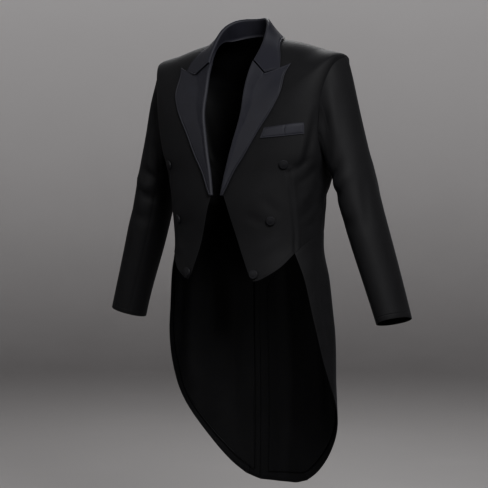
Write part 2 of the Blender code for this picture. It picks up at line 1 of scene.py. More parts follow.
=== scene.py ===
"""Looks of a black evening tailcoat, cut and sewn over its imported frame.

Every panel is a thin cloth shell on the same ring surface that its solid has, worked out on a finer
grid, with soft creases, rolled edges and pressed seams. Lengths are metres, +Z is up, the coat faces
-Y and its own left side is +X.
"""

from __future__ import annotations

import logging
import math
from dataclasses import dataclass, field
from enum import Enum

import bpy
import numpy as np
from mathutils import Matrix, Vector


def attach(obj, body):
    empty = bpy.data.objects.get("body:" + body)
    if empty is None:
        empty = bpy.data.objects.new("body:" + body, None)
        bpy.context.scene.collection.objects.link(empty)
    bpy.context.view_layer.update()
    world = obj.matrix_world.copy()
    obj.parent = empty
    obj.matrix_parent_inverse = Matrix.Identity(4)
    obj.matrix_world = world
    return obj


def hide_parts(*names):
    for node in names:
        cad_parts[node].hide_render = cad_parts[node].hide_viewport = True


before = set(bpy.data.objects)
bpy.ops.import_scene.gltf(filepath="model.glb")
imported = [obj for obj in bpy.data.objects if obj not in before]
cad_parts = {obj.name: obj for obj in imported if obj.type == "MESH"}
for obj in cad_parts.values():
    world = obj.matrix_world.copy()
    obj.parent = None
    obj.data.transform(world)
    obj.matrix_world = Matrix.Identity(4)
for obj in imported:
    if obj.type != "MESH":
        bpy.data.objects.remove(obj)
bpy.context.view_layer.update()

Array = np.ndarray
Place = tuple[float, float]
LOG = logging.getLogger("tailcoat")

CHART = "cloth_chart"
LINE_FIELD = "sewn_line"
FAR_AWAY = 1.0


class Side(Enum):
    """Side of the wearer that a piece is on. The value is the sign of its x."""

    LEFT = 1.0
    RIGHT = -1.0

    def mirrored(self, points: Array) -> Array:
        """Points or directions worked out for the left side, on this side."""
        return points * np.array((self.value, 1.0, 1.0))

    @property
    def label(self) -> str:
        """The side's word in a piece's name."""
        return self.name.lower()


class Held(Enum):
    """How a sheet of cloth is held."""

    HUNG = "hung"
    FOLDED = "folded"
    LAID = "laid"


class Slot(Enum):
    """Material slots that a piece is handed in with."""

    WOOL = "wool"
    SATIN = "satin"
    LINING = "lining"


def unit(vectors: Array) -> Array:
    """Vectors divided by their own lengths."""
    return vectors / np.maximum(np.linalg.norm(vectors, axis=-1, keepdims=True), 1e-12)


def eased(share: Array) -> Array:
    """The share from 0 to 1 with a soft start and end: 3s² − 2s³."""
    share = np.clip(share, 0.0, 1.0)
    return share * share * (3 - 2 * share)


def monotone(x: Array, xs: Array, ys: Array) -> Array:
    """A smooth curve through points that never overshoots them.

    Cubic pieces whose slope at an inner point is the harmonic mean of its neighbours' slopes, or 0
    where they differ in sign.

    Args:
        x: where the curve is read.
        xs: rising positions of the points.
        ys: values at the points.

    Returns:
        The curve's values at x.
    """
    widths = np.diff(xs)
    slopes = np.diff(ys) / widths
    tangents = np.concatenate((slopes[:1], np.zeros(len(xs) - 2), slopes[-1:]))
    product = slopes[1:] * slopes[:-1]
    total = np.where(product > 0, slopes[1:] + slopes[:-1], 1.0)
    tangents[1:-1] = np.where(product > 0, 2 * product / total, 0.0)
    x = np.clip(x, xs[0], xs[-1])
    row = np.clip(np.searchsorted(xs, x, side="right") - 1, 0, len(xs) - 2)
    t = (x - xs[row]) / widths[row]
    return (
        (1 + 2 * t) * (1 - t) ** 2 * ys[row]
        + t * (1 - t) ** 2 * widths[row] * tangents[row]
        + t * t * (3 - 2 * t) * ys[row + 1]
        + t * t * (t - 1) * widths[row] * tangents[row + 1]
    )


def joined(*lines: Array) -> Array:
    """Lines end to end, with each shared corner once."""
    return np.concatenate([line if index == 0 else line[1:] for index, line in enumerate(lines)])


def softened(line: Array, passes: int) -> Array:
    """A line whose inner points have each been moved to the mean of themselves and both neighbours."""
    line = line.copy()
    for _ in range(passes):
        line[1:-1] = (line[:-2] + line[1:-1] + line[2:]) / 3
    return line


def patch(top: Array, bottom: Array, inner: Array, outer: Array) -> Array:
    """A grid of places between four sides.

    The grid is the blend of the inner and outer lines plus the blend of the top and bottom lines,
    less the blend of the four corners.

    Args:
        top: places from the inner to the outer corner.
        bottom: places below it, as many.
        inner: places from top to bottom.
        outer: places from top to bottom, as many.

    Returns:
        Places, rows by columns.
    """
    down = np.linspace(0, 1, len(inner))[:, None, None]
    over = np.linspace(0, 1, len(top))[None, :, None]
    sides = (1 - over) * inner[:, None] + over * outer[:, None]
    ends = (1 - down) * top[None] + down * bottom[None]
    corners = (1 - down) * ((1 - over) * top[0] + over * top[-1]) + down * (
        (1 - over) * bottom[0] + over * bottom[-1]
    )
    return sides + ends - corners


def grid_normals(points: Array) -> Array:
    """Normals of a grid of points, from the cross product of its row and column slopes."""
    return unit(np.cross(np.gradient(points, axis=0), np.gradient(points, axis=1)))


def square_to(line: Array, normals: Array, towards: Array) -> Array:
    """Directions in the cloth, square to a line in it, on the side of the points towards."""
    across = unit(np.cross(normals, np.gradient(line, axis=0)))
    return across * np.sign((across * (towards - line)).sum(axis=-1, keepdims=True))


def distance_to(points: Array, path: Array) -> Array:
    """Distance of each point to the nearest of a path's straight runs.

    Each point's foot on a run is start + t · run, with t held between 0 and 1.

    Args:
        points: any array of points.
        path: the path's corners, in order.

    Returns:
        Distances, one for each point.
    """
    flat = points.reshape(-1, 3)
    starts, runs = path[:-1], np.diff(path, axis=0)
    lengths = np.maximum((runs**2).sum(-1), 1e-14)
    best = np.full(len(flat), FAR_AWAY)
    for start, run, length in zip(starts, runs, lengths):
        t = np.clip(((flat - start) @ run) / length, 0, 1)[:, None]
        best = np.minimum(best, np.linalg.norm(flat - start - t * run, axis=1))
    return best.reshape(points.shape[:-1])


@dataclass(frozen=True)
class Crease:
    """A soft trough (depth below 0) or ridge (above 0) along a short bent line.

    Its height is depth · Σ sin(πt)^0.7 · exp(−(d/width)²) over samples t of the line, d being the
    distance to the sample, scaled so that a straight line gives its depth at the middle.
    """

    start: Place
    bend: Place
    end: Place
    width: float
    depth: float

    def path(self, surface) -> Array:
        """Points along the crease: the bent line q(t) = (1−t)²a + 2t(1−t)b + t²c on a surface."""
        t = np.linspace(0, 1, 25)[:, None]
        a, b, c = (np.array(place, float) for place in (self.start, self.bend, self.end))
        return surface((1 - t) ** 2 * a + 2 * t * (1 - t) * b + t * t * c)

    def height(self, points: Array, path: Array) -> Array:
        """Height of the crease at points.

        Args:
            points: where it is wanted.
            path: the crease's own points, from path().

        Returns:
            Heights along the cloth's normal.
        """
        t = np.linspace(0, 1, len(path))
        taper = np.sin(np.pi * t) ** 0.7
        step = np.linalg.norm(np.diff(path, axis=0), axis=1).mean()
        flat = points.reshape(-1, 3)
        near = np.zeros(len(flat))
        for place, share in zip(path, taper):
            near += share * np.exp(-((flat - place) ** 2).sum(-1) / self.width**2)
        scale = self.depth * step / (self.width * math.sqrt(math.pi))
        return (scale * near).reshape(points.shape[:-1])


@dataclass(frozen=True)
class BodyForm:
    """The surface that the coat's body takes when worn.

    A place is (angle, drop): the angle runs round from the front centre (0) by the left side (90) to
    the centre back (180), and the drop runs down. At each drop a superellipse gives x = w·sin^(2/n)
    and y = r·cos^(2/n), and the height is middle + (side − middle)·sin².
    """

    # drop, heights at front, side and back, half width, reach to front and back, squareness of both
    rings: tuple[tuple[float, ...], ...] = (
        (0.00, -0.060, -0.005, 0.004, 0.065, 0.078, 0.034, 2.0, 2.0),
        (0.05, -0.095, -0.0170, -0.028, 0.126, 0.096, 0.074, 2.1, 2.1),
        (0.10, -0.130, -0.033, -0.070, 0.180, 0.106, 0.097, 2.2, 2.2),
        (0.15, -0.162, -0.050, -0.110, 0.230, 0.113, 0.110, 2.6, 2.4),
        (0.20, -0.195, -0.115, -0.155, 0.222, 0.119, 0.117, 3.0, 2.6),
        (0.26, -0.250, -0.258, -0.250, 0.204, 0.128, 0.118, 2.9, 2.5),
        (0.30, -0.300, -0.300, -0.300, 0.190, 0.133, 0.114, 2.6, 2.3),
        (0.36, -0.360, -0.360, -0.360, 0.178, 0.138, 0.104, 2.5, 2.1),
        (0.45, -0.450, -0.450, -0.450, 0.174, 0.131, 0.096, 2.4, 2.0),
        (0.52, -0.520, -0.520, -0.520, 0.185, 0.135, 0.101, 2.4, 2.0),
        (0.59, -0.590, -0.590, -0.590, 0.192, 0.137, 0.106, 2.4, 2.0),
        (0.65, -0.650, -0.650, -0.650, 0.199, 0.137, 0.110, 2.4, 2.0),
        (0.74, -0.740, -0.740, -0.740, 0.2035, 0.136, 0.115, 2.3, 2.0),
        (0.86, -0.860, -0.860, -0.860, 0.208, 0.130, 0.118, 2.2, 2.0),
        (1.02, -1.020, -1.020, -1.020, 0.204, 0.122, 0.112, 2.0, 2.0),
    )
    # Soft creases of each side's cloth, as places on it
    creases: dict[Side, tuple[Crease, ...]] = field(
        default_factory=lambda: {
            Side.LEFT: (
                Crease((66, 0.215), (60, 0.250), (62, 0.300), 0.010, -0.0037),
                Crease((60, 0.205), (54, 0.240), (55, 0.285), 0.012, 0.0028),
                Crease((70, 0.262), (58, 0.286), (46, 0.296), 0.009, -0.0025),
                Crease((80, 0.275), (70, 0.310), (58, 0.322), 0.010, -0.0028),
                Crease((84, 0.300), (76, 0.345), (64, 0.362), 0.013, 0.0028),
                Crease((92, 0.330), (80, 0.378), (66, 0.392), 0.010, -0.0025),
                Crease((96, 0.372), (86, 0.405), (70, 0.414), 0.009, -0.0023),
                Crease((30, 0.345), (36, 0.372), (48, 0.380), 0.012, -0.0019),
                Crease((16, 0.380), (26, 0.405), (34, 0.400), 0.011, -0.0019),
                Crease((24, 0.470), (34, 0.455), (46, 0.432), 0.012, 0.0019),
                Crease((112, 0.205), (122, 0.235), (124, 0.290), 0.011, -0.0047),
                Crease((118, 0.190), (130, 0.215), (134, 0.262), 0.014, 0.0034),
                Crease((104, 0.270), (116, 0.300), (130, 0.305), 0.010, -0.0031),
                Crease((100, 0.330), (118, 0.362), (140, 0.372), 0.011, -0.0037),
                Crease((108, 0.380), (130, 0.400), (152, 0.396), 0.009, -0.0028),
                Crease((150, 0.330), (164, 0.350), (178, 0.346), 0.012, -0.0025),
                Crease((160, 0.040), (166, 0.062), (172, 0.100), 0.014, -0.0019),
                Crease((128, 0.470), (124, 0.640), (128, 0.860), 0.020, -0.0056),
                Crease((144, 0.480), (141, 0.660), (146, 0.900), 0.022, 0.0053),
                Crease((102, 0.490), (100, 0.600), (104, 0.740), 0.018, 0.0040),
                Crease((84, 0.480), (85, 0.560), (90, 0.680), 0.015, -0.0034),
                Crease((170, 0.520), (169, 0.700), (171, 0.930), 0.014, 0.0025),
            ),
            Side.RIGHT: (
                Crease((67, 0.210), (60, 0.242), (58, 0.292), 0.011, -0.0034),
                Crease((61, 0.200), (55, 0.226), (52, 0.262), 0.012, 0.0025),
                Crease((72, 0.262), (60, 0.280), (50, 0.286), 0.009, -0.0022),
                Crease((82, 0.285), (72, 0.322), (60, 0.340), 0.011, -0.0028),
                Crease((88, 0.318), (78, 0.356), (66, 0.372), 0.012, 0.0025),
                Crease((94, 0.350), (84, 0.388), (70, 0.404), 0.010, -0.0025),
                Crease((28, 0.355), (36, 0.366), (46, 0.360), 0.011, -0.0017),
                Crease((14, 0.390), (24, 0.412), (34, 0.414), 0.012, -0.0019),
                Crease((26, 0.476), (36, 0.462), (50, 0.444), 0.012, 0.0019),
                Crease((111, 0.200), (120, 0.240), (120, 0.300), 0.012, -0.0043),
                Crease((119, 0.195), (128, 0.226), (132, 0.280), 0.014, 0.0031),
                Crease((102, 0.280), (118, 0.310), (134, 0.322), 0.010, -0.0028),
                Crease((104, 0.342), (124, 0.376), (148, 0.378), 0.011, -0.0034),
                Crease((150, 0.352), (165, 0.362), (178, 0.352), 0.011, -0.0022),
                Crease((158, 0.045), (165, 0.070), (170, 0.112), 0.014, -0.0019),
                Crease((130, 0.480), (127, 0.660), (132, 0.880), 0.020, -0.0053),
                Crease((146, 0.500), (144, 0.700), (148, 0.920), 0.020, 0.0047),
                Crease((104, 0.480), (103, 0.620), (108, 0.760), 0.019, 0.0043),
                Crease((86, 0.470), (86, 0.560), (92, 0.700), 0.015, -0.0037),
                Crease((171, 0.540), (170, 0.720), (172, 0.940), 0.014, 0.0022),
            ),
        }
    )

    def smooth(self, places: Array) -> Array:
        """Points of the cloth's outer face at places, with no creases."""
        table = np.array(self.rings)
        angle, drop = places[..., 0], places[..., 1]
        front_z, side_z, back_z, width, front_y, back_y, front_n, back_n = (
            monotone(drop, table[:, 0], table[:, column]) for column in range(1, 9)
        )
        sine, cosine = np.sin(np.radians(angle)), np.cos(np.radians(angle))
        ahead = cosine > 0
        power = 2 / np.where(ahead, front_n, back_n)
        middle_z = np.where(ahead, front_z, back_z)
        x = width * np.sign(sine) * np.abs(sine) ** power
        y = np.where(ahead, -front_y, back_y) * np.abs(cosine) ** power
        return np.stack((x, y, middle_z + (side_z - middle_z) * sine**2), -1)

    def normals(self, places: Array) -> Array:
        """Directions straight out of the cloth, from small steps round and down the surface."""
        turn, fall = np.array((0.4, 0.0)), np.array((0.0, 0.002))
        higher = places - fall
        higher[..., 1] = np.maximum(higher[..., 1], 0.0)
        around = self.smooth(places + turn) - self.smooth(places - turn)
        down = self.smooth(places + fall) - self.smooth(higher)
        return unit(np.cross(down, around))

    def nearest(self, points: Array, guess: Array) -> Array:
        """Places nearest to points, by six steps of least squares from a guess."""
        places = guess.copy()
        for _ in range(6):
            base = self.smooth(places)
            by_turn = (self.smooth(places + (0.2, 0.0)) - base) / 0.2
            by_fall = (self.smooth(places + (0.0, 0.001)) - base) / 0.001
            off = points - base
            tt, tf, ff = (by_turn**2).sum(-1), (by_turn * by_fall).sum(-1), (by_fall**2).sum(-1)
            t, f = (by_turn * off).sum(-1), (by_fall * off).sum(-1)
            scale = tt * ff - tf**2
            turn, fall = (ff * t - tf * f) / scale, (tt * f - tf * t) / scale
            places = places + np.stack((np.clip(turn, -8, 8), np.clip(fall, -0.02, 0.02)), -1)
            places[..., 1] = np.clip(places[..., 1], 0.0, 1.0)
        return places

    def eased_line(self, line: Array, passes: int) -> Array:
        """A line of places softened as a curve in space and laid back on the cloth, ends kept."""
        eased_places = self.nearest(softened(self.smooth(line), passes), line)
        eased_places[[0, -1]] = line[[0, -1]]
        return eased_places

    def creased(self, places: Array, side: Side) -> Array:
        """Points of the outer face with the side's creases, each moved along the normal."""
        points = self.smooth(places)
        lift = sum(crease.height(points, crease.path(self.smooth)) for crease in self.creases[side])
        return points + self.normals(places) * lift[..., None]

    def along(self, corners: tuple[Place, ...], steps: int, crowding: float = 1.0) -> Array:
        """Places spaced by length on the cloth along a smooth line through corners.

        Args:
            corners: places that the line passes through.
            steps: how many steps it is cut into.
            crowding: above 1, the steps are shorter near the first corner, as share^crowding.

        Returns:
            steps + 1 places.
        """
        knots_at = np.array(corners, float)
        rough = np.linalg.norm(np.diff(self.smooth(knots_at), axis=0), axis=1)
        knots = np.concatenate(((0.0,), np.cumsum(np.maximum(rough, 1e-6))))
        fine = np.linspace(0, knots[-1], 60 * len(knots_at))
        line = np.stack([monotone(fine, knots, knots_at[:, axis]) for axis in (0, 1)], -1)
        lengths = np.concatenate(((0.0,), np.cumsum(np.linalg.norm(np.diff(self.smooth(line), axis=0), axis=1))))
        wanted = lengths[-1] * np.linspace(0, 1, steps + 1) ** crowding
        return np.stack([np.interp(wanted, lengths, line[:, axis]) for axis in (0, 1)], -1)


@dataclass
class ClothGrid:
    """The middle of a cloth wall on a grid, with what its shell and weave need.

    Attributes:
        points: rows by columns by 3.
        normals: straight out of the face that shows.
        chart: flat coordinates in metres that the weave follows.
        lines: distance to the nearest sewn line, in metres.
        swell: share of the wall's full thickness, 0 at its edges.
    """

    points: Array
    normals: Array
    chart: Array
    lines: Array | None = None
    swell: Array | None = None

    def __post_init__(self) -> None:
        """Fills in what was left out: no sewn line near, and full thickness."""
        shape = self.points.shape[:2]
        self.lines = np.full(shape, FAR_AWAY) if self.lines is None else self.lines
        self.swell = np.ones(shape) if self.swell is None else self.swell

    def placed(self, side: Side) -> ClothGrid:
        """The same grid on a side of the wearer."""
        return ClothGrid(side.mirrored(self.points), side.mirrored(self.normals), self.chart, self.lines, self.swell)

    def rounded(self, radius: float) -> ClothGrid:
        """Closes the wall in a half circle along its four edges.

        Three lines of points are put in at distance radius·(1 − cos φ) from each edge, where the
        wall's swell is sin φ, for φ = 0, 30, 60 and 90 degrees.

        Args:
            radius: half of the wall's thickness.

        Returns:
            A grid with three more lines at each edge.
        """
        stack = np.concatenate(
            (self.points, self.normals, self.chart, self.lines[..., None], self.swell[..., None]), axis=-1
        )
        for _ in range(2):
            for end, beyond in ((0, 1), (-1, -2)):
                near, inside = stack[end], stack[beyond]
                length = np.linalg.norm(inside[..., :3] - near[..., :3], axis=-1)
                reach = np.minimum(radius, 0.8 * length) / np.maximum(length, 1e-9)
                turns = np.radians((0.0, 30.0, 60.0, 90.0))
                share = (1 - np.cos(turns))[:, None] * reach[None]
                rows = near + (inside - near) * share[..., None]
                rows[..., -1] *= np.sin(turns)[:, None]
                stack = (
                    np.concatenate((rows, stack[1:])) if end == 0 else np.concatenate((stack[:-1], rows[::-1]))
                )
            stack = stack.swapaxes(0, 1)
        return ClothGrid(stack[..., :3], unit(stack[..., 3:6]), stack[..., 6:8], stack[..., 8], stack[..., 9])


def quads_between(index: Array) -> Array:
    """The four corners of each cell of a grid of vertex numbers."""
    return np.stack((index[:-1, :-1], index[1:, :-1], index[1:, 1:], index[:-1, 1:]), -1).reshape(-1, 4)


def mesh_of(name: str, points: Array, faces: Array, finishes: list[bpy.types.Material]) -> bpy.types.Object:
    """A mesh object of quads or triangles, smooth, at the origin.

    Args:
        name: the object's name.
        points: vertices.
        faces: vertex numbers, one row for each face.
        finishes: its materials, in the order of its slots.

    Returns:
        The object, linked into the scene.
    """
    mesh = bpy.data.meshes.new(name)
    mesh.vertices.add(len(points))
    mesh.vertices.foreach_set("co", points.astype(np.float32).ravel())
    mesh.loops.add(faces.size)
    mesh.loops.foreach_set("vertex_index", faces.astype(np.int32).ravel())
    mesh.polygons.add(len(faces))
    mesh.polygons.foreach_set("loop_start", np.arange(0, faces.size, faces.shape[1], dtype=np.int32))
    mesh.update(calc_edges=True)
    mesh.shade_smooth()
    for finish in finishes:
        mesh.materials.append(finish)
    piece = bpy.data.objects.new(name, mesh)
    bpy.context.scene.collection.objects.link(piece)
    return piece


def chart_on(mesh: bpy.types.Mesh, chart: Array) -> None:
    """Gives a mesh a UV map from flat coordinates, one pair for each vertex."""
    corner_vertices = np.empty(len(mesh.loops), np.int32)
    mesh.loops.foreach_get("vertex_index", corner_vertices)
    layer = mesh.uv_layers.new(name=CHART)
    layer.data.foreach_set("uv", chart[corner_vertices].astype(np.float32).ravel())


def lines_on(mesh: bpy.types.Mesh, lines: Array) -> None:
    """Gives a mesh its distances to the nearest sewn line, one for each vertex."""
    mesh.attributes.new(LINE_FIELD, "FLOAT", "POINT").data.foreach_set("value", lines.astype(np.float32))


def shell_of(
    name: str, grid: ClothGrid, wall: float, outside: bpy.types.Material, inside: bpy.types.Material
) -> bpy.types.Object:
    """A closed cloth wall round a grid.

    The faces lie at middle ± normal · wall/2 · swell, and they share the vertices of the grid's
    border, where the swell is 0.

    Args:
        name: the piece's name.
        grid: the wall's middle.
        wall: its full thickness.
        outside: finish of the face that the normals point out of.
        inside: finish of the other face.

    Returns:
        The piece.
    """
    grid = grid.rounded(wall / 2)
    rows, columns = grid.swell.shape
    index = np.arange(rows * columns).reshape(rows, columns)
    below = index.copy()
    below[1:-1, 1:-1] = rows * columns + np.arange((rows - 2) * (columns - 2)).reshape(rows - 2, columns - 2)
    half = grid.normals * (grid.swell[..., None] * wall / 2)
    kept = (slice(1, -1), slice(1, -1))
    points = np.concatenate(((grid.points + half).reshape(-1, 3), (grid.points - half)[kept].reshape(-1, 3)))
    front, back = quads_between(index), quads_between(below)
    slopes = np.cross(np.gradient(grid.points, axis=0), np.gradient(grid.points, axis=1))
    if (slopes * grid.normals).sum() > 0:
        back = back[:, ::-1]
    else:
        front = front[:, ::-1]
    piece = mesh_of(name, points, np.concatenate((front, back)), [outside, inside])
    mesh = piece.data
    which = np.concatenate((np.zeros(len(front), np.int32), np.ones(len(back), np.int32)))
    mesh.polygons.foreach_set("material_index", which)
    chart = np.concatenate((grid.chart.reshape(-1, 2), grid.chart[kept].reshape(-1, 2)))
    lines = np.concatenate((grid.lines.ravel(), grid.lines[kept].ravel()))
    chart_on(mesh, chart)
    lines_on(mesh, lines)
    return piece


class Graph:
    """A small helper that lays nodes into a material and joins them."""

    def __init__(self, name: str) -> None:
        """Starts a material whose nodes are a shader and an output."""
        self.material = bpy.data.materials.new(name)
        self.material.use_nodes = True
        self.tree = self.material.node_tree
        self.shader = self.tree.nodes["Principled BSDF"]

    def node(self, kind: str, values: dict | None = None, **settings) -> bpy.types.Node:
        """Adds a node.

        Args:
            kind: the node's type.
            values: numbers for its sockets, by name or place.
            **settings: its own properties.

        Returns:
            The node.
        """
        made = self.tree.nodes.new(kind)
        for key, value in settings.items():
            setattr(made, key, value)
        for key, value in (values or {}).items():
            made.inputs[key].default_value = value
        return made

    def join(self, source: bpy.types.NodeSocket, target: bpy.types.NodeSocket) -> None:
        """Joins an output to an input."""
        self.tree.links.new(source, target)

    def math(self, operation: str, first, second: float | bpy.types.NodeSocket = 0.0) -> bpy.types.NodeSocket:
        """One sum on sockets or numbers, as the operation's name says."""
        made = self.node("ShaderNodeMath", operation=operation)
        for place, value in enumerate((first, second)):
            if isinstance(value, (int, float)):
                made.inputs[place].default_value = value
            else:
                self.join(value, made.inputs[place])
        return made.outputs[0]

    def chart(self) -> bpy.types.NodeSocket:
        """The piece's own flat coordinates, in metres."""
        return self.node("ShaderNodeUVMap", uv_map=CHART).outputs["UV"]

    def noise(self, vector: bpy.types.NodeSocket, scale: float, detail: float = 2.0) -> bpy.types.NodeSocket:
        """Soft noise from 0 to 1 at a scale per metre."""
        made = self.node("ShaderNodeTexNoise", {"Scale": scale, "Detail": detail, "Roughness": 0.55})
        self.join(vector, made.inputs["Vector"])
        return made.outputs["Fac"]

    def bands(self, vector: bpy.types.NodeSocket, direction: str, pitch: float) -> bpy.types.NodeSocket:
        """Fine threads from 0 to 1, a pitch apart, along one direction of the chart."""
        made = self.node(
            "ShaderNodeTexWave",
            {"Scale": (2 * math.pi) / (20 * pitch), "Distortion": 0.4, "Detail": 1.0, "Detail Scale": 2.0},
            wave_type="BANDS",
            bands_direction=direction,
        )
        self.join(vector, made.inputs["Vector"])
        return made.outputs["Fac"]

    def sewn(self, width: float) -> bpy.types.NodeSocket:
        """A groove's share at the nearest sewn line: exp(−(distance/width)²)."""
        line = self.node("ShaderNodeAttribute", attribute_name=LINE_FIELD, attribute_type="GEOMETRY").outputs["Fac"]
        scaled = self.math("DIVIDE", line, width)
        return self.math("EXPONENT", self.math("MULTIPLY", self.math("MULTIPLY", scaled, scaled), -1.0))

    def blend(self, share: bpy.types.NodeSocket, low: tuple, high: tuple) -> bpy.types.NodeSocket:
        """A colour between two, by a share."""
        made = self.node("ShaderNodeMix", data_type="RGBA")
        made.inputs[6].default_value = (*low, 1.0)
        made.inputs[7].default_value = (*high, 1.0)
        self.join(share, made.inputs[0])
        return made.outputs[2]

    def between(self, share: bpy.types.NodeSocket, low: float, high: float) -> bpy.types.NodeSocket:
        """A number between two, by a share from 0 to 1."""
        made = self.node("ShaderNodeMapRange", {"To Min": low, "To Max": high})
        self.join(share, made.inputs["Value"])
        return made.outputs["Result"]

    def bump(
        self, height: bpy.types.NodeSocket, depth: float, strength: float, below: bpy.types.NodeSocket | None = None
    ) -> bpy.types.NodeSocket:
        """Relief of a depth in metres, laid over what is below it."""
        made = self.node("ShaderNodeBump", {"Strength": strength, "Distance": depth})
        self.join(height, made.inputs["Height"])
        if below is not None:
            self.join(below, made.inputs["Normal"])
        return made.outputs["Normal"]

    def finish(self, colour: bpy.types.NodeSocket, rough: bpy.types.NodeSocket, normal: bpy.types.NodeSocket) -> None:
        """Joins colour, roughness and relief to the shader."""
        self.join(colour, self.shader.inputs["Base Color"])
        self.join(rough, self.shader.inputs["Roughness"])
        self.join(normal, self.shader.inputs["Normal"])

    def constant(self, **values) -> None:
        """Sets numbers on the shader's own sockets. An underscore stands for a space."""
        for key, value in values.items():
            self.shader.inputs[key.replace("_", " ")].default_value = value


@dataclass(frozen=True)
class Worsted:
    """Fine black worsted: a steep twill under a short nap, with a faint cool sheen."""

    name: str = "worsted"
    dark: tuple[float, float, float] = (0.0017, 0.0017, 0.0019)
    light: tuple[float, float, float] = (0.0038, 0.0037, 0.0043)
    twill_pitch: float = 0.0011
    rough: tuple[float, float] = (0.62, 0.78)
    sheen: float = 0.012

    def material(self) -> bpy.types.Material:
        """The material, with its weave in the chart's metres."""
        graph = Graph(self.name)
        chart = graph.chart()
        mottle = graph.noise(chart, 26.0, 4.0)
        nap = graph.noise(chart, 1300.0, 2.0)
        twill = graph.bands(chart, "DIAGONAL", self.twill_pitch)
        groove = graph.sewn(0.0011)
        colour = graph.blend(graph.math("MULTIPLY", mottle, graph.between(nap, 0.6, 1.4)), self.dark, self.light)
        relief = graph.bump(graph.math("ADD", graph.math("MULTIPLY", twill, 0.6), nap), 0.00022, 0.35)
        relief = graph.bump(graph.math("MULTIPLY", groove, -1.0), 0.0011, 1.0, relief)
        graph.finish(colour, graph.between(mottle, *self.rough), relief)
        graph.constant(Specular_IOR_Level=0.09, Sheen_Weight=self.sheen, Sheen_Roughness=0.42)
        graph.constant(Sheen_Tint=(0.80, 0.82, 0.95, 1.0))
        return graph.material


@dataclass(frozen=True)
class Satin:
    """Black silk satin: long floats along the cloth, a soft directional gloss and a blue cast."""

    name: str = "satin"
    dark: tuple[float, float, float] = (0.0047, 0.0046, 0.0066)
    light: tuple[float, float, float] = (0.0084, 0.0082, 0.0118)
    thread: float = 0.0006
    rough: tuple[float, float] = (0.54, 0.66)
    gloss: float = 0.13

    def material(self) -> bpy.types.Material:
        """The material, with its threads in the chart's metres."""
        graph = Graph(self.name)
        chart = graph.chart()
        cloud = graph.noise(chart, 18.0, 3.0)
        slub = graph.noise(chart, 420.0, 2.0)
        floats = graph.bands(chart, "X", self.thread)
        groove = graph.sewn(0.0009)
        colour = graph.blend(graph.math("MULTIPLY", cloud, graph.between(slub, 0.8, 1.2)), self.dark, self.light)
        relief = graph.bump(graph.math("ADD", floats, graph.math("MULTIPLY", slub, 0.7)), 0.00012, 0.30)
        relief = graph.bump(graph.math("MULTIPLY", groove, -1.0), 0.0009, 1.0, relief)
        graph.finish(colour, graph.between(cloud, *self.rough), relief)
        graph.constant(Specular_IOR_Level=self.gloss, Anisotropic=0.45, Sheen_Weight=0.01, Sheen_Roughness=0.35)
        graph.constant(Sheen_Tint=(0.82, 0.82, 1.0, 1.0))
        tangent = graph.node("ShaderNodeTangent", direction_type="UV_MAP", uv_map=CHART)
        graph.join(tangent.outputs["Tangent"], graph.shader.inputs["Tangent"])
        return graph.material


@dataclass(frozen=True)
class BodyLining:
    """Plain black lining twill, darker and smoother than the cloth."""

    name: str = "lining"
    dark: tuple[float, float, float] = (0.0018, 0.0018, 0.0020)
    light: tuple[float, float, float] = (0.0032, 0.0032, 0.0036)
    twill_pitch: float = 0.0008

    def material(self) -> bpy.types.Material:
        """The material, with its weave in the chart's metres."""
        graph = Graph(self.name)
        chart = graph.chart()
        cloud = graph.noise(chart, 22.0, 3.0)
        weave = graph.noise(chart, 900.0, 2.0)
        twill = graph.bands(chart, "DIAGONAL", self.twill_pitch)
        colour = graph.blend(cloud, self.dark, self.light)
        relief = graph.bump(graph.math("ADD", twill, weave), 0.00010, 0.25)
        relief = graph.bump(graph.math("MULTIPLY", graph.sewn(0.0008), -1.0), 0.0007, 1.0, relief)
        graph.finish(colour, graph.between(cloud, 0.46, 0.58), relief)
        graph.constant(Specular_IOR_Level=0.05)
        return graph.material


@dataclass(frozen=True)
class Backdrop:
    """Plain pale paper of the floor and the wall behind, with painted shade that darkens it towards the floor."""

    name: str = "paper"
    # Painted shade: the floor end of the ramp is dark grey, standing in for dimmer light low down on the pale paper
    floor_painted_shade: tuple[float, float, float] = (0.20, 0.192, 0.19)
    wall_tone: tuple[float, float, float] = (0.90, 0.875, 0.87)
    heights: tuple[float, float] = (-1.30, 1.20)

    def material(self) -> bpy.types.Material:
        """A matt material with painted shade: its tone darkens evenly from above the wall's bend down to the floor."""
        graph = Graph(self.name)
        spot = graph.node("ShaderNodeTexCoord").outputs["Object"]
        split = graph.node("ShaderNodeSeparateXYZ")
        graph.join(spot, split.inputs[0])
        low, high = self.heights
        # Painted shade: the tone ramps by height from the dark floor colour to the pale wall colour, with faint random
        # grain
        painted_shade_ramp = graph.node("ShaderNodeMapRange", {"From Min": low, "From Max": high})
        graph.join(split.outputs["Z"], painted_shade_ramp.inputs["Value"])
        grain = graph.math("MULTIPLY", graph.math("SUBTRACT", graph.noise(spot, 2.0), 0.5), 0.05)
        share = graph.math("ADD", painted_shade_ramp.outputs["Result"], grain)
        graph.join(graph.blend(share, self.floor_painted_shade, self.wall_tone), graph.shader.inputs["Base Color"])
        graph.constant(Roughness=0.9)
        return graph.material


@dataclass
class Cloths:
    """The finishes of the coat, each made once."""

    worsted: bpy.types.Material = field(default_factory=lambda: Worsted().material())
    satin: bpy.types.Material = field(default_factory=lambda: Satin().material())
    covering: bpy.types.Material = field(default_factory=lambda: Satin(
        "covering", (0.0024, 0.0024, 0.0029), (0.0046, 0.0045, 0.0054), gloss=0.10
    ).material())
    lining: bpy.types.Material = field(default_factory=lambda: BodyLining().material())


@dataclass(frozen=True)
class Cut:
    """Flat size of a sheet before it is sewn: width, length and area."""

    width: float
    length: float
    area: float
    held: Held = Held.HUNG


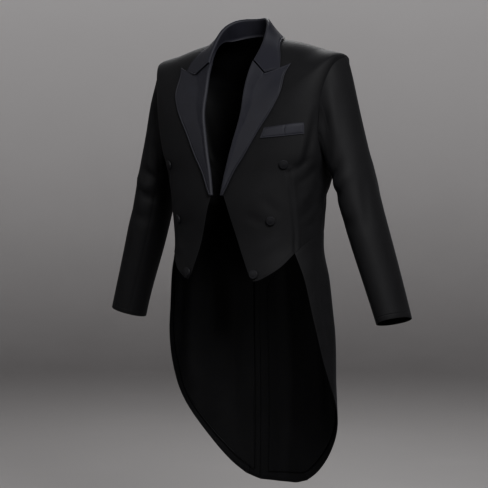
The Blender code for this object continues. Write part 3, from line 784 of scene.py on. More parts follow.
class Workroom:
    """Hands pieces to the frame, each in place of the solid that it stands for."""

    def __init__(self, cloths: Cloths) -> None:
        """Keeps the finishes that pieces are made of."""
        self.cloths = cloths

    def hand_in(self, piece: bpy.types.Object, node: str, slot: Slot, cut: Cut | None = None) -> None:
        """Rides a piece on the coat, in place of its solid.

        Args:
            piece: the finished piece.
            node: the solid that it stands for.
            slot: not used.
            cut: not used.
        """
        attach(piece, "root")
        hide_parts(node)
        mesh = piece.data
        LOG.info("%s: %d vertices, %d faces", piece.name, len(mesh.vertices), len(mesh.polygons))


@dataclass(frozen=True)
class CuttingLines:
    """The coat's cutting lines, as places on the body, and how finely they are stepped."""

    body: BodyForm
    fineness: int = 6
    neck_point: Place = (92.0, 0.0)
    shoulder_tip: Place = (95.0, 0.150)
    nape: Place = (180.0, 0.0)
    gorge_start: Place = (32.0, 0.031)
    notch: Place = (33.0, 0.075)
    peak_tip: Place = (52.5, 0.095)
    neckline_middle: tuple[Place, ...] = ((50.0, 0.014), (72.0, 0.004))
    roll_rest: tuple[Place, ...] = (
        (25.5, 0.045), (20.5, 0.065), (12.0, 0.1125), (5.2, 0.2075), (3.8, 0.275), (2.2, 0.345),
    )
    front_edge: tuple[Place, ...] = ((2.2, 0.345), (9.0, 0.420), (19.0, 0.514))
    front_point: tuple[Place, ...] = ((19.0, 0.514), (22.0, 0.526), (26.5, 0.524))
    cutaway: tuple[Place, ...] = ((26.5, 0.524), (43.0, 0.499), (59.7, 0.466))
    lapel_edge_rest: tuple[Place, ...] = (
        (47.0, 0.100), (33.7, 0.134), (20.5, 0.196), (16.0, 0.224), (10.5, 0.275),
        (7.4, 0.297), (4.3, 0.333), (3.1, 0.3428),
    )
    waist_front: tuple[Place, ...] = ((59.7, 0.466), (73.0, 0.445), (87.5, 0.430), (97.0, 0.425))
    waist_back: tuple[Place, ...] = ((97.0, 0.425), (125.0, 0.418), (162.0, 0.415))
    pleat_line: tuple[Place, ...] = ((162.0, 0.415), (160.0, 0.600), (158.0, 0.800), (157.0, 0.985))
    tail_front: tuple[Place, ...] = (
        (59.7, 0.466), (67.0, 0.524), (71.5, 0.588), (75.5, 0.645), (79.0, 0.690), (86.0, 0.740),
        (94.8, 0.785), (104.0, 0.820), (116.0, 0.860), (128.0, 0.900),
    )
    tail_corner: tuple[Place, ...] = ((128.0, 0.900), (139.0, 0.938), (148.0, 0.965), (157.0, 0.985))
    armhole: tuple[Place, ...] = (
        (95.0, 0.150), (85.0, 0.160), (76.0, 0.172), (70.5, 0.192), (68.3, 0.214), (69.8, 0.234),
        (75.0, 0.250), (85.0, 0.262), (97.0, 0.263), (107.0, 0.252), (112.0, 0.232),
        (112.0, 0.205), (107.0, 0.180), (101.0, 0.162), (95.0, 0.150),
    )
    dart: tuple[Place, ...] = ((48.5, 0.295), (54.0, 0.3325), (58.0, 0.375), (60.2, 0.4275), (59.9, 0.4655))
    vent_top: float = 0.474
    vent_full: float = 0.515
    vent_sink: tuple[float, float] = (0.438, 0.473)
    vent_angle: float = 13.0
    vent_depth: float = 0.0034
    vent_step_angle: float = 9.0
    below_crowding: float = 1.35
    softening: int = 90
    edge_softening: int = 30

    @property
    def roll_line(self) -> tuple[Place, ...]:
        """The line that the lapel rolls on."""
        return (self.gorge_start, *self.roll_rest)

    @property
    def neckline(self) -> tuple[Place, ...]:
        """The forepart's neck seam."""
        return (self.gorge_start, *self.neckline_middle, self.neck_point)

    @property
    def lapel_edge(self) -> tuple[Place, ...]:
        """The lapel's outer edge, from its peak down."""
        return (self.peak_tip, *self.lapel_edge_rest)

    def roll(self, steps: int) -> Array:
        """The roll line in steps, with its bends softened."""
        return self.body.eased_line(self.body.along(self.roll_line, steps), self.softening)

    def leaf_edge(self, steps: int) -> Array:
        """The lapel's outer edge in steps, with its bends softened."""
        return self.body.eased_line(self.body.along(self.lapel_edge, steps), self.edge_softening)

    def tail_edge(self, steps: int, corner_steps: int) -> Array:
        """The tail's front edge and round corner in one softened line."""
        front = self.body.along(self.tail_front, steps, self.below_crowding)
        return self.body.eased_line(joined(front, self.body.along(self.tail_corner, corner_steps)), self.edge_softening)

    def hole(self) -> Array:
        """The armhole, from the shoulder tip down the front and up the back."""
        return self.body.along(self.armhole, 24 * self.fineness)

    def shoulder(self) -> Array:
        """The shoulder seam, outwards."""
        return self.body.along((self.neck_point, self.shoulder_tip), 5 * self.fineness)

    def side(self) -> Array:
        """The side seam under the arm."""
        top = tuple(self.hole()[13 * self.fineness])
        return self.body.along((top, (98.0, 0.340), self.waist_front[-1]), 6 * self.fineness)

    def back_seam(self) -> Array:
        """The curved seam between side body and back."""
        top = tuple(self.hole()[18 * self.fineness])
        return self.body.along((top, (124.0, 0.270), (147.0, 0.340), self.waist_back[-1]), 6 * self.fineness)

    def pleat(self) -> Array:
        """The line of the tail's side pleat."""
        return self.body.along(self.pleat_line, 11 * self.fineness, self.below_crowding)

    def forepart(self) -> Array:
        """Places of the front panel."""
        k, body = self.fineness, self.body
        outer = joined(self.shoulder(), self.hole()[: 13 * k + 1], self.side())
        edge = joined(body.along(self.front_edge, 6 * k), body.along(self.front_point[:2], k))
        inner = joined(self.roll(len(outer) - 1 - 7 * k), edge)
        cutaway = joined(body.along(self.front_point[1:], k), body.along(self.cutaway, 4 * k))
        bottom = joined(cutaway, body.along(self.waist_front, 5 * k))
        return patch(body.along(self.neckline, len(bottom) - 1), bottom, inner, outer)

    def side_body(self) -> Array:
        """Places of the narrow panel under the arm."""
        k = self.fineness
        bottom = self.body.along(self.waist_back, 5 * k)
        return patch(self.hole()[13 * k : 18 * k + 1], bottom, self.side(), self.back_seam())

    def back(self, vented: bool) -> Array:
        """Places of a back panel with its tail strip.

        Args:
            vented: whether it runs on past the centre below the waist.

        Returns:
            Places, from the centre to the side.
        """
        k, body = self.fineness, self.body
        outer = joined(self.shoulder(), self.hole()[: 18 * k - 1 : -1], self.back_seam(), self.pleat())
        below = body.along(((180.0, 0.415), (180.0, 0.995)), 11 * k, self.below_crowding)
        if vented:
            below[:, 0] += self.vent_angle * np.clip(
                (below[:, 1] - self.vent_top) / (self.vent_full - self.vent_top), 0, 1
            )
        inner = joined(body.along((self.nape, (180.0, 0.415)), len(outer) - 1 - 11 * k), below)
        across = (9 if vented else 6) * k
        hem = body.along(((float(inner[-1, 0]), 0.990), (168.0, 0.993), (157.0, 0.985)), across)
        return patch(body.along((self.nape, (140.0, 0.0), self.neck_point), across), hem, inner, outer)

    def sunk(self, grid: Array) -> Array:
        """How far inside the surface the vent's underlap lies at places."""
        past = eased((grid[..., 0] - 180.0 + self.vent_step_angle) / self.vent_step_angle)
        low = eased((grid[..., 1] - self.vent_sink[0]) / (self.vent_sink[1] - self.vent_sink[0]))
        return self.vent_depth * past * low

    def tail(self) -> Array:
        """Places of the tail below the waist seam."""
        k, body = self.fineness, self.body
        top = joined(body.along(self.waist_front, 5 * k), body.along(self.waist_back, 5 * k))
        edge = self.tail_edge(11 * k, len(top) - 1)
        return patch(top, edge[11 * k :], edge[: 11 * k + 1], self.pleat())

    def lining(self, vented: bool, inset: float) -> Array:
        """Places of a tail's lining, held back from its edges.

        Args:
            vented: whether the tail has the vent's underlap.
            inset: how far it is held back.

        Returns:
            Places, from the tail's front to its centre.
        """
        k, body = self.fineness, self.body
        turn = math.degrees(inset / 0.16)
        end = 180.0 + (self.vent_angle - turn if vented else -self.vent_angle - 4.5)
        front = [(angle + turn, drop) for angle, drop in self.tail_front]
        front[0] = (front[0][0], front[0][1] + 0.004)
        hem = [(angle + 2.0, drop - inset) for angle, drop in self.tail_corner] + [(end, 0.993 - inset)]
        hem[0] = front[-1]
        inner_end = min(end, 174.0)
        top = body.along((front[0], (98.0, 0.440), (150.0, 0.430), (inner_end, 0.430)), 9 * k)
        side = body.along(((inner_end, 0.430), (inner_end, 0.500), (end, 0.560), (end, 0.993 - inset)), 11 * k)
        return patch(top, body.along(tuple(hem), 9 * k), body.along(tuple(front), 11 * k), side)


@dataclass(frozen=True)
class BodyPanels:
    """Foreparts, side bodies, backs, tails and the tails' linings."""

    lines: CuttingLines
    room: Workroom
    wall: float = 0.0020
    lining_wall: float = 0.0010
    lining_gap: float = 0.0024
    lining_inset: float = 0.018
    seam_gap: float = -0.0004
    pleat_underlap: float = 0.006
    underlap_depth: float = 0.0018
    roll_pull: float = 0.0018
    pressed_depth: float = 0.0007
    pressed_width: float = 0.0050
    chart_radius: float = 0.155
    edge_stitch: float = 0.0052
    forepart_cut: Cut = Cut(0.29, 0.61, 0.104)
    side_body_cut: Cut = Cut(0.17, 0.26, 0.0191)
    back_cuts: dict[Side, Cut] = field(
        default_factory=lambda: {Side.LEFT: Cut(0.32, 1.03, 0.146), Side.RIGHT: Cut(0.28, 1.03, 0.124)}
    )
    tail_cut: Cut = Cut(0.26, 0.57, 0.103)
    lining_cuts: dict[Side, Cut] = field(
        default_factory=lambda: {Side.LEFT: Cut(0.33, 0.55, 0.131), Side.RIGHT: Cut(0.24, 0.55, 0.091)}
    )

    def chart_of(self, places: Array) -> Array:
        """Flat coordinates of places: angle · mean radius, and drop."""
        return np.stack((np.radians(places[..., 0]) * self.chart_radius, places[..., 1]), -1)

    def grid_of(
        self,
        places: Array,
        side: Side,
        pulls: tuple[float, float, float, float],
        depth: Array | float = 0.0,
        wall: float | None = None,
        pressed: tuple[bool, bool, bool, bool] = (True, True, True, True),
    ) -> ClothGrid:
        """The middle of a panel's wall.

        It lies at surface − normal · (depth + wall/2). Its edges are drawn in by the pulls, and at a
        pressed edge the cloth dips by pressed_depth · exp(−(d/pressed_width)²).

        Args:
            places: the panel's grid.
            side: the wearer's side, for its creases.
            pulls: how far the top, bottom, inner and outer edges are drawn in.
            depth: how far inside the surface its outer face lies.
            wall: its thickness, or the cloth's.
            pressed: which of the four edges are pressed seams.

        Returns:
            The grid on the left side of the wearer.
        """
        body, wall = self.lines.body, self.wall if wall is None else wall
        normals = body.normals(places)
        points = body.creased(places, side)
        edges = ((0, 1), (-1, -2))
        for axis in (0, 1):
            for end, (edge, inside) in enumerate(edges):
                pull = pulls[2 * axis + end]
                rows, turned = points.swapaxes(0, axis), normals.swapaxes(0, axis)
                moved = rows[edge] + pull * square_to(rows[edge], turned[edge], rows[inside])
                rows[edge] = moved
        dip = np.zeros(places.shape[:2])
        for number, is_pressed in enumerate(pressed):
            if is_pressed:
                axis, end = divmod(number, 2)
                border = points.swapaxes(0, axis)[-end]
                dip = np.maximum(dip, np.exp(-((distance_to(points, border) / self.pressed_width) ** 2)))
        sunk = np.broadcast_to(np.asarray(depth, float), dip.shape) + wall / 2 + self.pressed_depth * dip
        return ClothGrid(points - normals * sunk[..., None], normals, self.chart_of(places))

    def path(self, places: tuple[Place, ...] | Array, side: Side, steps: int = 60) -> Array:
        """Points of a line of places on the creased cloth."""
        line = places if isinstance(places, np.ndarray) else self.lines.body.along(places, steps)
        return self.lines.body.creased(line, side)

    def add(self, name: str, side: Side, grid: ClothGrid, cut: Cut, inside: bpy.types.Material) -> bpy.types.Object:
        """Sews a wool panel and hands it in."""
        node = f"{name}_{side.label}"
        piece = shell_of(node + "_cloth", grid.placed(side), self.wall, self.room.cloths.worsted, inside)
        self.room.hand_in(piece, node, Slot.WOOL, cut)
        return piece

    def forepart(self, side: Side) -> None:
        """Front panel with its dart and a stitched line inside its free edges."""
        places = self.lines.forepart()
        grid = self.grid_of(
            places, side, (self.seam_gap, self.seam_gap, self.roll_pull, self.seam_gap), pressed=(True, False, False, True)
        )
        dart = distance_to(grid.points, self.path(self.lines.dart, side))
        free = (*self.lines.front_edge, *self.lines.front_point[1:], *self.lines.cutaway[1:])
        stitch = np.abs(distance_to(grid.points, self.path(free, side, 160)) - self.edge_stitch)
        grid.lines = np.minimum(dart, stitch + 0.0006)
        swell = np.exp(-(((dart - 0.0075) / 0.0055) ** 2)) * 0.0013 - np.exp(-((dart / 0.0040) ** 2)) * 0.0013
        grid.points = grid.points + grid.normals * swell[..., None]
        self.add("forepart", side, grid, self.forepart_cut, self.room.cloths.lining)

    def side_body(self, side: Side) -> None:
        """The narrow panel under the arm."""
        grid = self.grid_of(self.lines.side_body(), side, (self.seam_gap,) * 4)
        self.add("side_body", side, grid, self.side_body_cut, self.room.cloths.lining)

    def back(self, side: Side) -> None:
        """Back panel; the left one has the vent's underlap."""
        vented = side is Side.LEFT
        places = self.lines.back(vented)
        depth = self.lines.sunk(places) if vented else 0.0
        grid = self.grid_of(
            places, side, (self.seam_gap, 0.0, self.seam_gap, self.seam_gap), depth, pressed=(True, False, not vented, False)
        )
        pleat = distance_to(grid.points, self.path(self.lines.pleat(), side))
        seam = distance_to(grid.points, self.path(self.lines.back_seam(), side))
        hole = self.lines.hole()[18 * self.lines.fineness :]
        seam = np.minimum(seam, distance_to(grid.points, self.path(hole, side)))
        lift = 0.0011 * np.exp(-((pleat / 0.006) ** 2)) - self.pressed_depth * np.exp(-((seam / 0.005) ** 2))
        grid.points = grid.points + grid.normals * lift[..., None]
        self.add("back", side, grid, self.back_cuts[side], self.room.cloths.lining)

    def tail(self, side: Side) -> None:
        """Tail with its rounded corner; its pleat edge tucks under the back's."""
        grid = self.grid_of(
            self.lines.tail(),
            side,
            (self.seam_gap, 0.0, 0.0, -self.pleat_underlap),
            pressed=(True, False, False, False),
        )
        pleat = distance_to(grid.points, self.path(self.lines.pleat(), side))
        sink = 0.0010 * np.exp(-((pleat / 0.007) ** 2))
        sink[:, -1] = self.underlap_depth
        edge = distance_to(grid.points, np.concatenate((grid.points[:, 0], grid.points[-1, 1:])))
        grid.lines = np.abs(edge - self.edge_stitch) + 0.0006
        grid.points = grid.points - grid.normals * sink[..., None]
        self.add("tail", side, grid, self.tail_cut, self.room.cloths.lining)

    def lining(self, side: Side) -> None:
        """Plain black lining of a tail, with a felled edge that puckers a little."""
        vented = side is Side.LEFT
        places = self.lines.lining(vented, self.lining_inset)
        depth = self.wall + self.lining_gap + (self.lines.sunk(places) if vented else 0.0)
        grid = self.grid_of(places, side, (0.0,) * 4, depth, self.lining_wall, pressed=(False,) * 4)
        border = np.concatenate((grid.points[::-1, 0], grid.points[0], grid.points[:, -1], grid.points[-1, ::-1]))
        edge = distance_to(grid.points, border)
        grid.lines = np.abs(edge - 0.0030)
        run = grid.chart[..., 0] + grid.chart[..., 1]
        pucker = 0.00045 * np.sin(2 * math.pi * run / 0.017) * np.exp(-((edge / 0.012) ** 2))
        grid.points = grid.points + grid.normals * pucker[..., None]
        node = f"tail_lining_{side.label}"
        lining = self.room.cloths.lining
        piece = shell_of(node + "_cloth", grid.placed(side), self.lining_wall, lining, lining)
        self.room.hand_in(piece, node, Slot.LINING, self.lining_cuts[side])

    def build(self) -> None:
        """Both sides' panels."""
        for side in Side:
            self.forepart(side)
            self.side_body(side)
            self.back(side)
            self.tail(side)
            self.lining(side)


@dataclass(frozen=True)
class Sleeves:
    """Two-piece sleeves from the armholes to plain cuffs."""

    lines: CuttingLines
    room: Workroom
    # height, out, back, half width, half depth of the arm's sections
    arm: tuple[tuple[float, ...], ...] = (
        (-0.300, 0.2505, 0.002, 0.0420, 0.0585),
        (-0.372, 0.2722, 0.004, 0.0425, 0.0570),
        (-0.445, 0.2935, 0.009, 0.0420, 0.0550),
        (-0.530, 0.3215, 0.011, 0.0390, 0.0510),
        (-0.612, 0.3480, 0.012, 0.0358, 0.0475),
    )
    wall: float = 0.0020
    seam_gap: float = -0.0004
    cuff_rise_out: float = 0.30
    cuff_drop_back: float = 0.10
    hole_gap: float = 0.0003
    hole_depth: float = 0.0006
    seam_turn: float = 0.0050
    pressed_depth: float = 0.0009
    softening: int = 26
    underarm_gap: float = 0.0012
    head_spring: float = 0.10
    cap_steps: int = 6
    arm_steps: int = 5
    under: tuple[int, int] = (9, 17)
    hem_line: float = 0.010
    longer: dict[Side, float] = field(default_factory=lambda: {Side.LEFT: -0.004, Side.RIGHT: 0.006})
    top_cut: Cut = Cut(0.26, 0.58, 0.1045)
    under_cut: Cut = Cut(0.15, 0.45, 0.043)
    # Creases as (turn, share down the sleeve)
    creases: dict[Side, tuple[Crease, ...]] = field(
        default_factory=lambda: {
            Side.LEFT: (
                Crease((0.24, 0.13), (0.28, 0.25), (0.36, 0.36), 0.013, -0.0061),
                Crease((0.30, 0.16), (0.34, 0.27), (0.42, 0.40), 0.011, 0.0044),
                Crease((0.15, 0.10), (0.18, 0.24), (0.24, 0.36), 0.015, 0.0036),
                Crease((0.18, 0.46), (0.30, 0.52), (0.44, 0.50), 0.009, -0.0048),
                Crease((0.22, 0.57), (0.34, 0.61), (0.46, 0.57), 0.009, -0.0052),
                Crease((0.14, 0.53), (0.25, 0.57), (0.36, 0.55), 0.010, 0.0033),
                Crease((0.20, 0.68), (0.30, 0.71), (0.40, 0.67), 0.010, -0.0033),
                Crease((0.06, 0.55), (0.10, 0.66), (0.16, 0.74), 0.014, -0.0026),
                Crease((0.52, 0.22), (0.58, 0.30), (0.62, 0.42), 0.012, -0.0052),
                Crease((0.62, 0.50), (0.72, 0.55), (0.84, 0.54), 0.011, -0.0040),
                Crease((0.80, 0.16), (0.78, 0.28), (0.72, 0.40), 0.014, -0.0044),
                Crease((0.90, 0.48), (0.82, 0.60), (0.80, 0.76), 0.014, 0.0033),
            ),
            Side.RIGHT: (
                Crease((0.22, 0.12), (0.27, 0.24), (0.36, 0.33), 0.013, -0.0056),
                Crease((0.28, 0.14), (0.34, 0.24), (0.43, 0.34), 0.011, 0.0040),
                Crease((0.14, 0.12), (0.17, 0.26), (0.20, 0.40), 0.014, 0.0033),
                Crease((0.16, 0.49), (0.28, 0.54), (0.42, 0.50), 0.009, -0.0061),
                Crease((0.20, 0.58), (0.32, 0.63), (0.46, 0.58), 0.009, -0.0061),
                Crease((0.13, 0.55), (0.24, 0.59), (0.35, 0.56), 0.010, 0.0040),
                Crease((0.18, 0.66), (0.30, 0.71), (0.42, 0.66), 0.010, -0.0040),
                Crease((0.05, 0.50), (0.10, 0.62), (0.15, 0.72), 0.014, -0.0029),
                Crease((0.55, 0.20), (0.60, 0.30), (0.63, 0.42), 0.012, -0.0048),
                Crease((0.60, 0.52), (0.72, 0.57), (0.86, 0.55), 0.011, -0.0044),
                Crease((0.82, 0.18), (0.78, 0.30), (0.74, 0.44), 0.014, -0.0040),
                Crease((0.92, 0.46), (0.84, 0.58), (0.80, 0.72), 0.014, 0.0029),
            ),
        }
    )

    def ring(self, height: Array, turns: Array) -> Array:
        """Points round the arm: centre + half width · cos outwards, half depth · sin to the back."""
        table = np.array(self.arm)
        out, back, half_width, half_depth = (
            monotone(-height, -table[:, 0], table[:, column]) for column in range(1, 5)
        )
        x = out + half_width * np.cos(2 * np.pi * turns)
        y = back + half_depth * np.sin(2 * np.pi * turns)
        return np.stack(np.broadcast_arrays(x, y, height), -1)

    def surface(self, side: Side) -> tuple[Array, Array]:
        """Outer face of the whole sleeve.

        The cap's rows are cubic curves from the armhole, leaving it outwards, to the arm's first
        ring, and the rings below go down to the slanted cuff.

        Args:
            side: the wearer's side.

        Returns:
            Points and normals, rows down by columns round, the first column at the shoulder.
        """
        fine = self.lines.fineness
        hole = self.lines.hole()[:-1]
        turns = -np.arange(len(hole)) / len(hole)
        body = self.lines.body
        start, normals = body.creased(hole, side), body.normals(hole)
        inward = unit(start.mean(axis=0) - start)
        under = np.clip(-np.cos(2 * np.pi * turns), 0, 1)[:, None]
        start = start + self.hole_gap * inward * (1 - under) + normals * self.underarm_gap * np.sqrt(under)
        table = np.array(self.arm)
        top_z = table[0, 0] + self.cuff_rise_out * table[0, 3] * np.cos(2 * np.pi * turns)
        target = self.ring(top_z, turns)
        axis = unit(np.array((table[1, 1] - table[0, 1], 0.0, table[1, 0] - table[0, 0])))
        reach = np.linalg.norm(target - start, axis=1, keepdims=True)
        outward = unit(np.array((1.0, 0.0, 0.0)) * (1 - under) + axis * under * 1.2 + normals * 0.25)
        leave = outward * reach * (self.head_spring + (1 - self.head_spring) * under)
        arrive = axis * reach * (1.05 - 0.15 * under)
        t = np.linspace(0, 1, self.cap_steps * fine + 1)[:, None, None]
        cap = (
            (1 + 2 * t) * (1 - t) ** 2 * start
            + t * (1 - t) ** 2 * leave
            + t * t * (3 - 2 * t) * target
            + t * t * (t - 1) * arrive
        )
        cuff_z = (
            table[-1, 0] - self.longer[side]
            + self.cuff_rise_out * table[-1, 3] * np.cos(2 * np.pi * turns)
            - self.cuff_drop_back * table[-1, 4] * np.sin(2 * np.pi * turns)
        )
        share = np.linspace(0, 1, self.arm_steps * fine + 1)[1:, None]
        points = np.concatenate((cap, self.ring(top_z + (cuff_z - top_z) * share, turns[None])))
        points = softened(points, self.softening)
        closed = np.concatenate((points[:, -1:], points, points[:, :1]), axis=1)
        out = grid_normals(closed)[:, 1:-1]
        centre = points.mean(axis=1, keepdims=True)
        out *= np.sign((out * (points - centre)).sum(axis=(1, 2), keepdims=True))
        return points, out

    def creased(self, points: Array, normals: Array, side: Side) -> Array:
        """The sleeve's points moved along their normals by its creases."""
        rows, columns = points.shape[:2]

        def on_sleeve(places: Array) -> Array:
            """Points of the sleeve at (turn, share) places, the nearest of its grid."""
            column = np.round(places[:, 0] * columns).astype(int) % columns
            row = np.clip(np.round(places[:, 1] * (rows - 1)).astype(int), 0, rows - 1)
            return points[row, column]

        lift = sum(crease.height(points, crease.path(on_sleeve)) for crease in self.creases[side])
        return points + normals * lift[..., None]

    def middle(self, points: Array, normals: Array, side: Side) -> tuple[Array, Array]:
        """Middle of the sleeve's wall, with the seam allowance that turns in under the armhole's edge.

        The wall starts square to the body's cloth and turns to the sleeve's own normal over
        seam_turn. The allowance is two lines of points inside: below the edge, then under the body.

        Args:
            points: outer face, rows down from the armhole.
            normals: its normals.
            side: the wearer's side.

        Returns:
            Points with the two lines on top, and the drop of each row's points along the sleeve.
        """
        body, hole = self.lines.body, self.lines.hole()[:-1]
        body_out = body.normals(hole)
        lengths = np.cumsum(np.linalg.norm(np.diff(points, axis=0, prepend=points[:1]), axis=-1), axis=0)
        near = np.exp(-((lengths / self.seam_turn) ** 2))[..., None]
        across = unit(near * body_out + (1 - near) * normals)
        dip = self.hole_depth * np.exp(-((lengths / 0.0045) ** 2))[..., None]
        cloth = points - across * (self.wall / 2 + dip)
        inward = unit(points[0].mean(axis=0) - points[0])
        below = points[0] + inward * 0.0006 - body_out * (self.wall / 2 + 0.0022)
        under = points[0] - inward * 0.0032 - body_out * (self.wall / 2 + 0.0034)
        drops = np.concatenate((np.full((1, len(hole)), -0.006), np.full((1, len(hole)), -0.002), lengths))
        return np.concatenate((under[None], below[None], cloth)), drops

    def add(self, name: str, side: Side, middle: Array, drops: Array, chosen: Array, cut: Cut) -> None:
        """Sews one half of a sleeve from chosen columns and hands it in."""
        cloth, lengths = middle[:, chosen].copy(), drops[:, chosen]
        out = grid_normals(cloth)
        centre = middle[3:].mean(axis=1, keepdims=True)
        if (out[3:] * (cloth[3:] - centre)).sum() < 0:
            out = -out
        for edge, inside in ((0, 1), (-1, -2)):
            cloth[:, edge] += self.seam_gap * square_to(cloth[:, edge], out[:, edge], cloth[:, inside])
        seam = np.minimum(distance_to(cloth, cloth[2:, 0]), distance_to(cloth, cloth[2:, -1]))
        cloth = cloth - out * (self.pressed_depth * np.exp(-((seam / 0.0045) ** 2)))[..., None]
        round_it = np.radians(360.0 * np.arange(len(chosen)) / middle.shape[1]) * 0.047
        chart = np.stack((np.broadcast_to(round_it, lengths.shape), lengths), -1)
        grid = ClothGrid(cloth, out, chart, np.abs(lengths[-1] - lengths - self.hem_line))
        node = f"{name}_{side.label}"
        cloths = self.room.cloths
        piece = shell_of(node + "_cloth", grid.placed(side), self.wall, cloths.worsted, cloths.lining)
        self.room.hand_in(piece, node, Slot.WOOL, cut)

    def build(self) -> None:
        """Both sleeves, each of an upper and an under half."""
        for side in Side:
            smooth, normals = self.surface(side)
            middle, drops = self.middle(self.creased(smooth, normals, side), normals, side)
            count, fine = middle.shape[1], self.lines.fineness
            first, last = (step * fine for step in self.under)
            self.add("under_sleeve", side, middle, drops, np.arange(first, last + 1), self.under_cut)
            self.add("top_sleeve", side, middle, drops, np.arange(last, first + count + 1) % count, self.top_cut)


